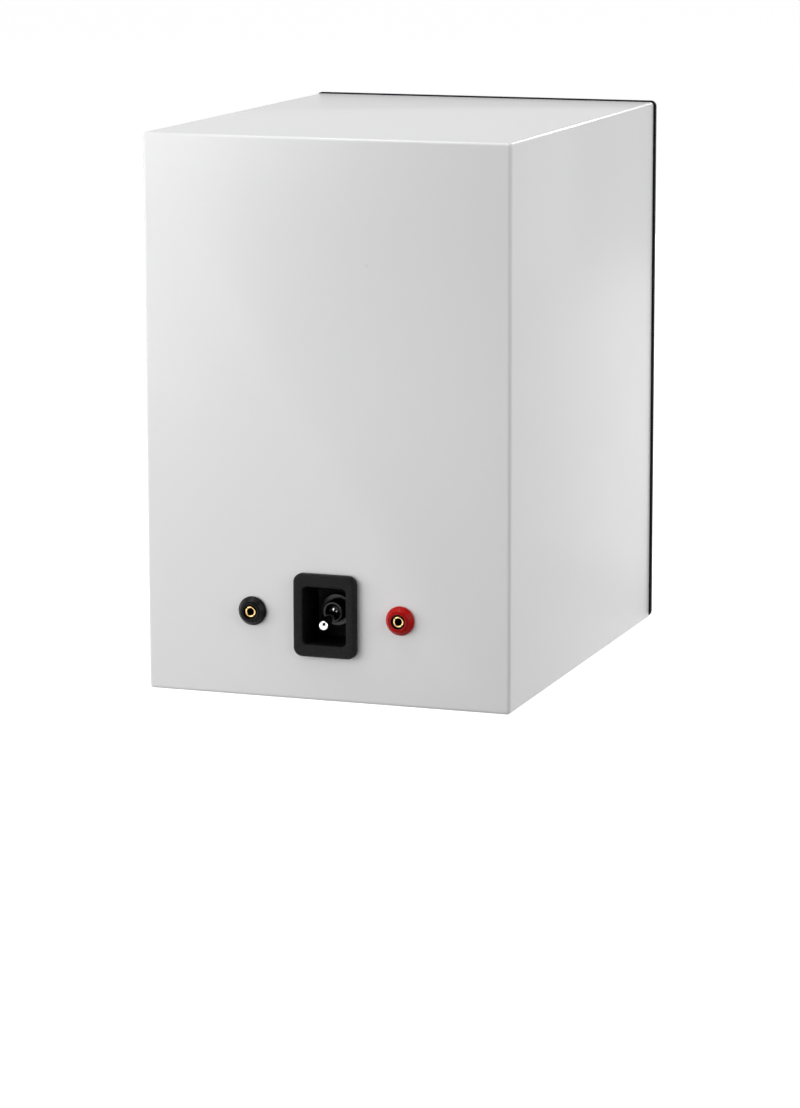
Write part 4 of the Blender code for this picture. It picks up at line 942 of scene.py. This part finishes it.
def make_woofer(finishes):
    """Cone, dust cap and coil, hung on a rubber half roll and a pleated spider."""
    w = WOOFER
    place = (0, FRONT, middle_of("woofer_basket").z)
    neck = w["coil_r"] + w["coil_t"] + GAP
    radii = [w["cone_r"] + (neck - w["cone_r"]) * step / CURVE_STEPS for step in range(CURVE_STEPS + 1)]
    outline = strip([(radius, cone_depth(radius)) for radius in radii], w["cone_t"])
    cone = turned("cone", outline, place, finishes["cone_pulp"], "woofer_diaphragm", FINE, 50)
    base = cone_depth(w["cap_r"]) - 2 * GAP - w["cap_t"]
    outline = strip(shallow_dome(w["cap_r"], w["cap_h"], base), w["cap_t"])
    cap = turned("dust_cap", outline, place, finishes["cone_pulp"], "woofer_diaphragm", FINE, 50)
    coil_low, coil_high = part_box("woofer_voice_coil")
    coil = [(w["coil_r"], coil_low.y), (w["coil_r"] + w["coil_t"], coil_low.y),
            (w["coil_r"] + w["coil_t"], coil_high.y), (w["coil_r"], coil_high.y)]
    former = turned("voice_coil", coil, (0, 0, place[2]), finishes["copper_winding"], "woofer_diaphragm")
    for piece, node, slot in ((cone, "woofer_cone", "cone_pulp"), (cap, "woofer_dust_cap", "cone_pulp"),
                              (former, "woofer_voice_coil", "copper_winding")):
        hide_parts(node)

    inner, outer = w["cone_r"] + GAP, w["r"] - w["lip"] - GAP
    seat = w["seat"] - GAP - w["surround_t"]
    roll_r, middle = (w["inner_r"] - inner) / 2, (w["inner_r"] + inner) / 2
    front, back = [(outer, seat)], [(outer, seat + w["surround_t"])]
    for step in range(CURVE_STEPS + 1):
        angle = step / CURVE_STEPS * pi
        front.append((middle + roll_r * cos(angle), seat - roll_r * sin(angle)))
        inside = roll_r - w["surround_t"] * sin(angle)
        back.append((middle + inside * cos(angle), seat + w["surround_t"] - inside * sin(angle)))
    back[-1] = (inner, w["cone_edge"])
    make_surround("half_roll", "woofer_surround", front + back[::-1], place,
                  finishes["black_rubber"])


def make_tweeter(finishes):
    """A faceplate with a shallow flare round a soft dome."""
    t = TWEETER
    place = (0, FRONT, middle_of("tweeter_faceplate").z)
    mouth_r = t["dome_r"] + GAP + t["surround_w"] / 2
    back = GAP + t["plate_t"]
    flare = []
    for step in range(CURVE_STEPS + 1):
        angle = step / CURVE_STEPS * pi / 2
        flare.append((mouth_r + (t["horn_r"] - mouth_r) * (1 - sin(angle)),
                      GAP + (t["plate_t"] - t["throat_t"]) * (1 - cos(angle))))
    outline = [(t["r"], GAP)] + flare + [(mouth_r, back), (t["r"], back)]
    plate = turned("faceplate", outline, place, finishes["black_frame_plastic"], "cabinet",
                   FINE, 30, t["plate_edge"])
    carve(plate, [screw_holes(TWEETER_SCREWS, t["plate_t"] + REACH)])
    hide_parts("tweeter_faceplate")

    outline = strip(shallow_dome(t["dome_r"], t["dome_h"], t["dome_depth"]), t["dome_t"])
    piece = turned("dome", outline, place, finishes["silk_dome"], "tweeter_diaphragm", FINE, 50)
    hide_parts("tweeter_dome")


MOTOR_EDGE = 0.6 * MM
# driver, bore of the top plate, pole's radius and bore of the magnet
MOTORS = (("woofer", 20.9 * MM, 18.4 * MM, 22.5 * MM), ("tweeter", 13.2 * MM, 11.4 * MM, 16.2 * MM))


def make_motor(driver, outlines, place, finishes):
    """Magnet, plates and pole of one driver, with soft edges."""
    slots = {"top_plate": "plated_steel", "magnet": "ferrite", "yoke": "plated_steel"}
    for part, outline in outlines.items():
        node = f"{driver}_{part}"
        piece = turned(f"{driver}_motor_{part}", outline, place, finishes[slots[part]], "cabinet",
                       FINE, 30, MOTOR_EDGE)
        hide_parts(node)


def plate_outline(node, hole_r):
    low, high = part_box(node)
    outer = (high.x - low.x) / 2
    return [(hole_r, low.y), (outer, low.y), (outer, high.y), (hole_r, high.y)]


def yoke_outline(node, front, pole_r, plate_front):
    low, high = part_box(node)
    outer = (high.x - low.x) / 2
    return [(0, front), (pole_r, front), (pole_r, plate_front), (outer, plate_front),
            (outer, high.y), (0, high.y)]


def make_motors(finishes):
    for driver, bore, pole, hole in MOTORS:
        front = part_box(f"{driver}_top_plate")[0].y
        yoke_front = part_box(f"{driver}_magnet")[1].y + GAP
        outlines = {"top_plate": plate_outline(f"{driver}_top_plate", bore),
                    "magnet": plate_outline(f"{driver}_magnet", hole),
                    "yoke": yoke_outline(f"{driver}_yoke", front, pole, yoke_front)}
        make_motor(driver, outlines, (0, 0, middle_of(f"{driver}_magnet").z), finishes)


# ---- stage

CAMERA = {"azimuth": 199.38, "elevation": 10.95, "roll": -0.122, "distance": 2.35,
          "right": -0.005, "up": 0.055, "lens": 135.0, "sensor": 36,
          "nearest": 0.1, "farthest": 100}


def set_camera():
    """A long lens behind the speaker, a little above it and to its right-hand side."""
    azimuth, elevation = radians(CAMERA["azimuth"]), radians(CAMERA["elevation"])
    back = Vector((sin(azimuth) * cos(elevation), -cos(azimuth) * cos(elevation), sin(elevation)))
    right = Vector((0, 0, 1)).cross(back).normalized()
    up = back.cross(right)
    roll = radians(CAMERA["roll"])
    right, up = cos(roll) * right + sin(roll) * up, cos(roll) * up - sin(roll) * right
    data = bpy.data.cameras.new("camera")
    data.lens = CAMERA["lens"]
    data.sensor_width = CAMERA["sensor"]
    data.sensor_fit = "AUTO"
    data.clip_start, data.clip_end = CAMERA["nearest"], CAMERA["farthest"]
    camera = bpy.data.objects.new("camera", data)
    camera.location = back * CAMERA["distance"] + right * CAMERA["right"] + up * CAMERA["up"]
    camera.rotation_euler = Matrix((right, up, back)).transposed().to_euler()
    bpy.context.scene.collection.objects.link(camera)
    bpy.context.scene.camera = camera


def soft_light(name, place, size, power):
    """A square softbox, unseen by the camera, that faces the middle of the speaker."""
    data = bpy.data.lights.new(name, "AREA")
    data.shape = "SQUARE"
    data.size = size
    data.energy = power
    light = bpy.data.objects.new(name, data)
    light.location = place
    light.rotation_euler = (Vector(place) - Vector(LIGHTS_AIM)).to_track_quat("Z", "Y").to_euler()
    light.visible_camera = False
    bpy.context.scene.collection.objects.link(light)


def stage_piece(name, bm, finish):
    """A surface of the stage, which isn't part of the speaker."""
    mesh = bpy.data.meshes.new(name)
    bm.to_mesh(mesh)
    bm.free()
    ob = bpy.data.objects.new(name, mesh)
    bpy.context.scene.collection.objects.link(ob)
    mesh.materials.append(finish)
    return ob


def glowing_finish(name, colour, glow):
    f = Finish(name, colour, 0.9, specular=0.1)
    f.tint(f.noise(0.5, 3), colour, [c * 1.01 for c in colour])
    f.set("Emission Color", (1, 1, 1, 1))
    f.set("Emission Strength", glow)
    return f.material


def set_stage():
    """A pale floor and surround, a dark card behind the camera, and soft lights."""
    bm = bmesh.new()
    bmesh.ops.create_circle(bm, cap_ends=True, segments=FINE, radius=FLOOR_R)
    floor = stage_piece("floor", bm, glowing_finish("floor_paper", PAPER, FLOOR_GLOW))
    bm = bmesh.new()
    bmesh.ops.create_uvsphere(bm, u_segments=COARSE, v_segments=COARSE, radius=SURROUND_R)
    surround = stage_piece("surround", bm, glowing_finish("surround_paper", PAPER, SURROUND_GLOW))
    for ob in (floor, surround):
        ob.visible_diffuse = False
        ob.visible_shadow = False

    bm = bmesh.new()
    bmesh.ops.create_grid(bm, x_segments=1, y_segments=1, size=0.5,
                          matrix=Matrix.Diagonal((CARD_W, CARD_H, 1, 1)))
    card = stage_piece("dark_card", bm, glowing_finish("card_paint", CARD_PAINT, 0.0))
    card.visible_camera = False
    bpy.context.view_layer.update()
    card.matrix_world = bpy.context.scene.camera.matrix_world @ Matrix.Translation((0, CARD_UP, CARD_BACK))

    world = bpy.data.worlds.new("surround")
    world.use_nodes = True
    background = world.node_tree.nodes["Background"]
    background.inputs["Color"].default_value = (1, 1, 1, 1)
    background.inputs["Strength"].default_value = WORLD_LIGHT
    bpy.context.scene.world = world

    for name, place, size, power in LIGHTS:
        soft_light(name, place, size, power)
    bpy.context.scene.view_settings.view_transform = "Standard"


PAPER = (0.88, 0.88, 0.88)
FLOOR_R, FLOOR_GLOW = 14, 0.82
SURROUND_R, SURROUND_GLOW = 15, 0.7
WORLD_LIGHT = 0.143
CARD_PAINT = (0.02, 0.02, 0.02)
CARD_W, CARD_H, CARD_UP, CARD_BACK = 4.6, 3.4, 1.25, 0.3
LIGHTS_AIM = (0, 0, 0.15)
# name, place, size and power of each softbox
LIGHTS = (("key", (1.6, 1.0, 0.5), 1.4, 12.0), ("low key", (1.1, 1.0, 0.1), 1.2, 7.8),
          ("high key", (0.9, 1.4, 0.8), 1.0, 5.7), ("right", (-1.8, 0.6, 0.8), 1.6, 17.0),
          ("overhead", (0.3, 0.3, 1.8), 1.6, 9.5), ("far front", (-1.4, -1.6, 0.7), 1.6, 4.1),
          ("front rim", (-0.38, -1.85, 0.95), 0.5, 4.5), ("top rim", (0.49, 0.42, 1.69), 0.4, 4.0),
          ("front fill", (0.4, -2.0, -0.2), 1.0, 9.0))


# ---- build

def main():
    set_camera()
    set_stage()
    finishes = make_finishes()
    dress_nodes(finishes)
    make_cabinet(finishes["white_lacquer"])
    make_cup(finishes["cup_plastic"])
    # The bushing and switch nut get near-black nickel: painted shade of the pocket
    make_bushing(finishes["black_nickel"])
    hexagon_nut("nut", "switch_nut", SWITCH_NUT["flats_r"], SWITCH_NUT["bore_r"],
                finishes["black_nickel"], SWITCH_NUT["chamfer"])
    make_lever(finishes["chrome"])
    for colour in ("black", "red"):
        make_socket(colour, finishes)
        hexagon_nut(f"{colour}_nut", f"{colour}_socket_nut", SOCKET_NUT["flats_r"], SOCKET_NUT["bore_r"],
                    finishes["plated_steel"], SOCKET_NUT["chamfer"])
    make_cloth(finishes["black_cloth"])
    make_grille_frame(finishes["black_frame_plastic"], finishes["black_rubber"])
    make_screws(finishes["black_screw"])
    make_basket(finishes["cast_basket"])
    make_woofer(finishes)
    make_tweeter(finishes)
    make_motors(finishes)


main()
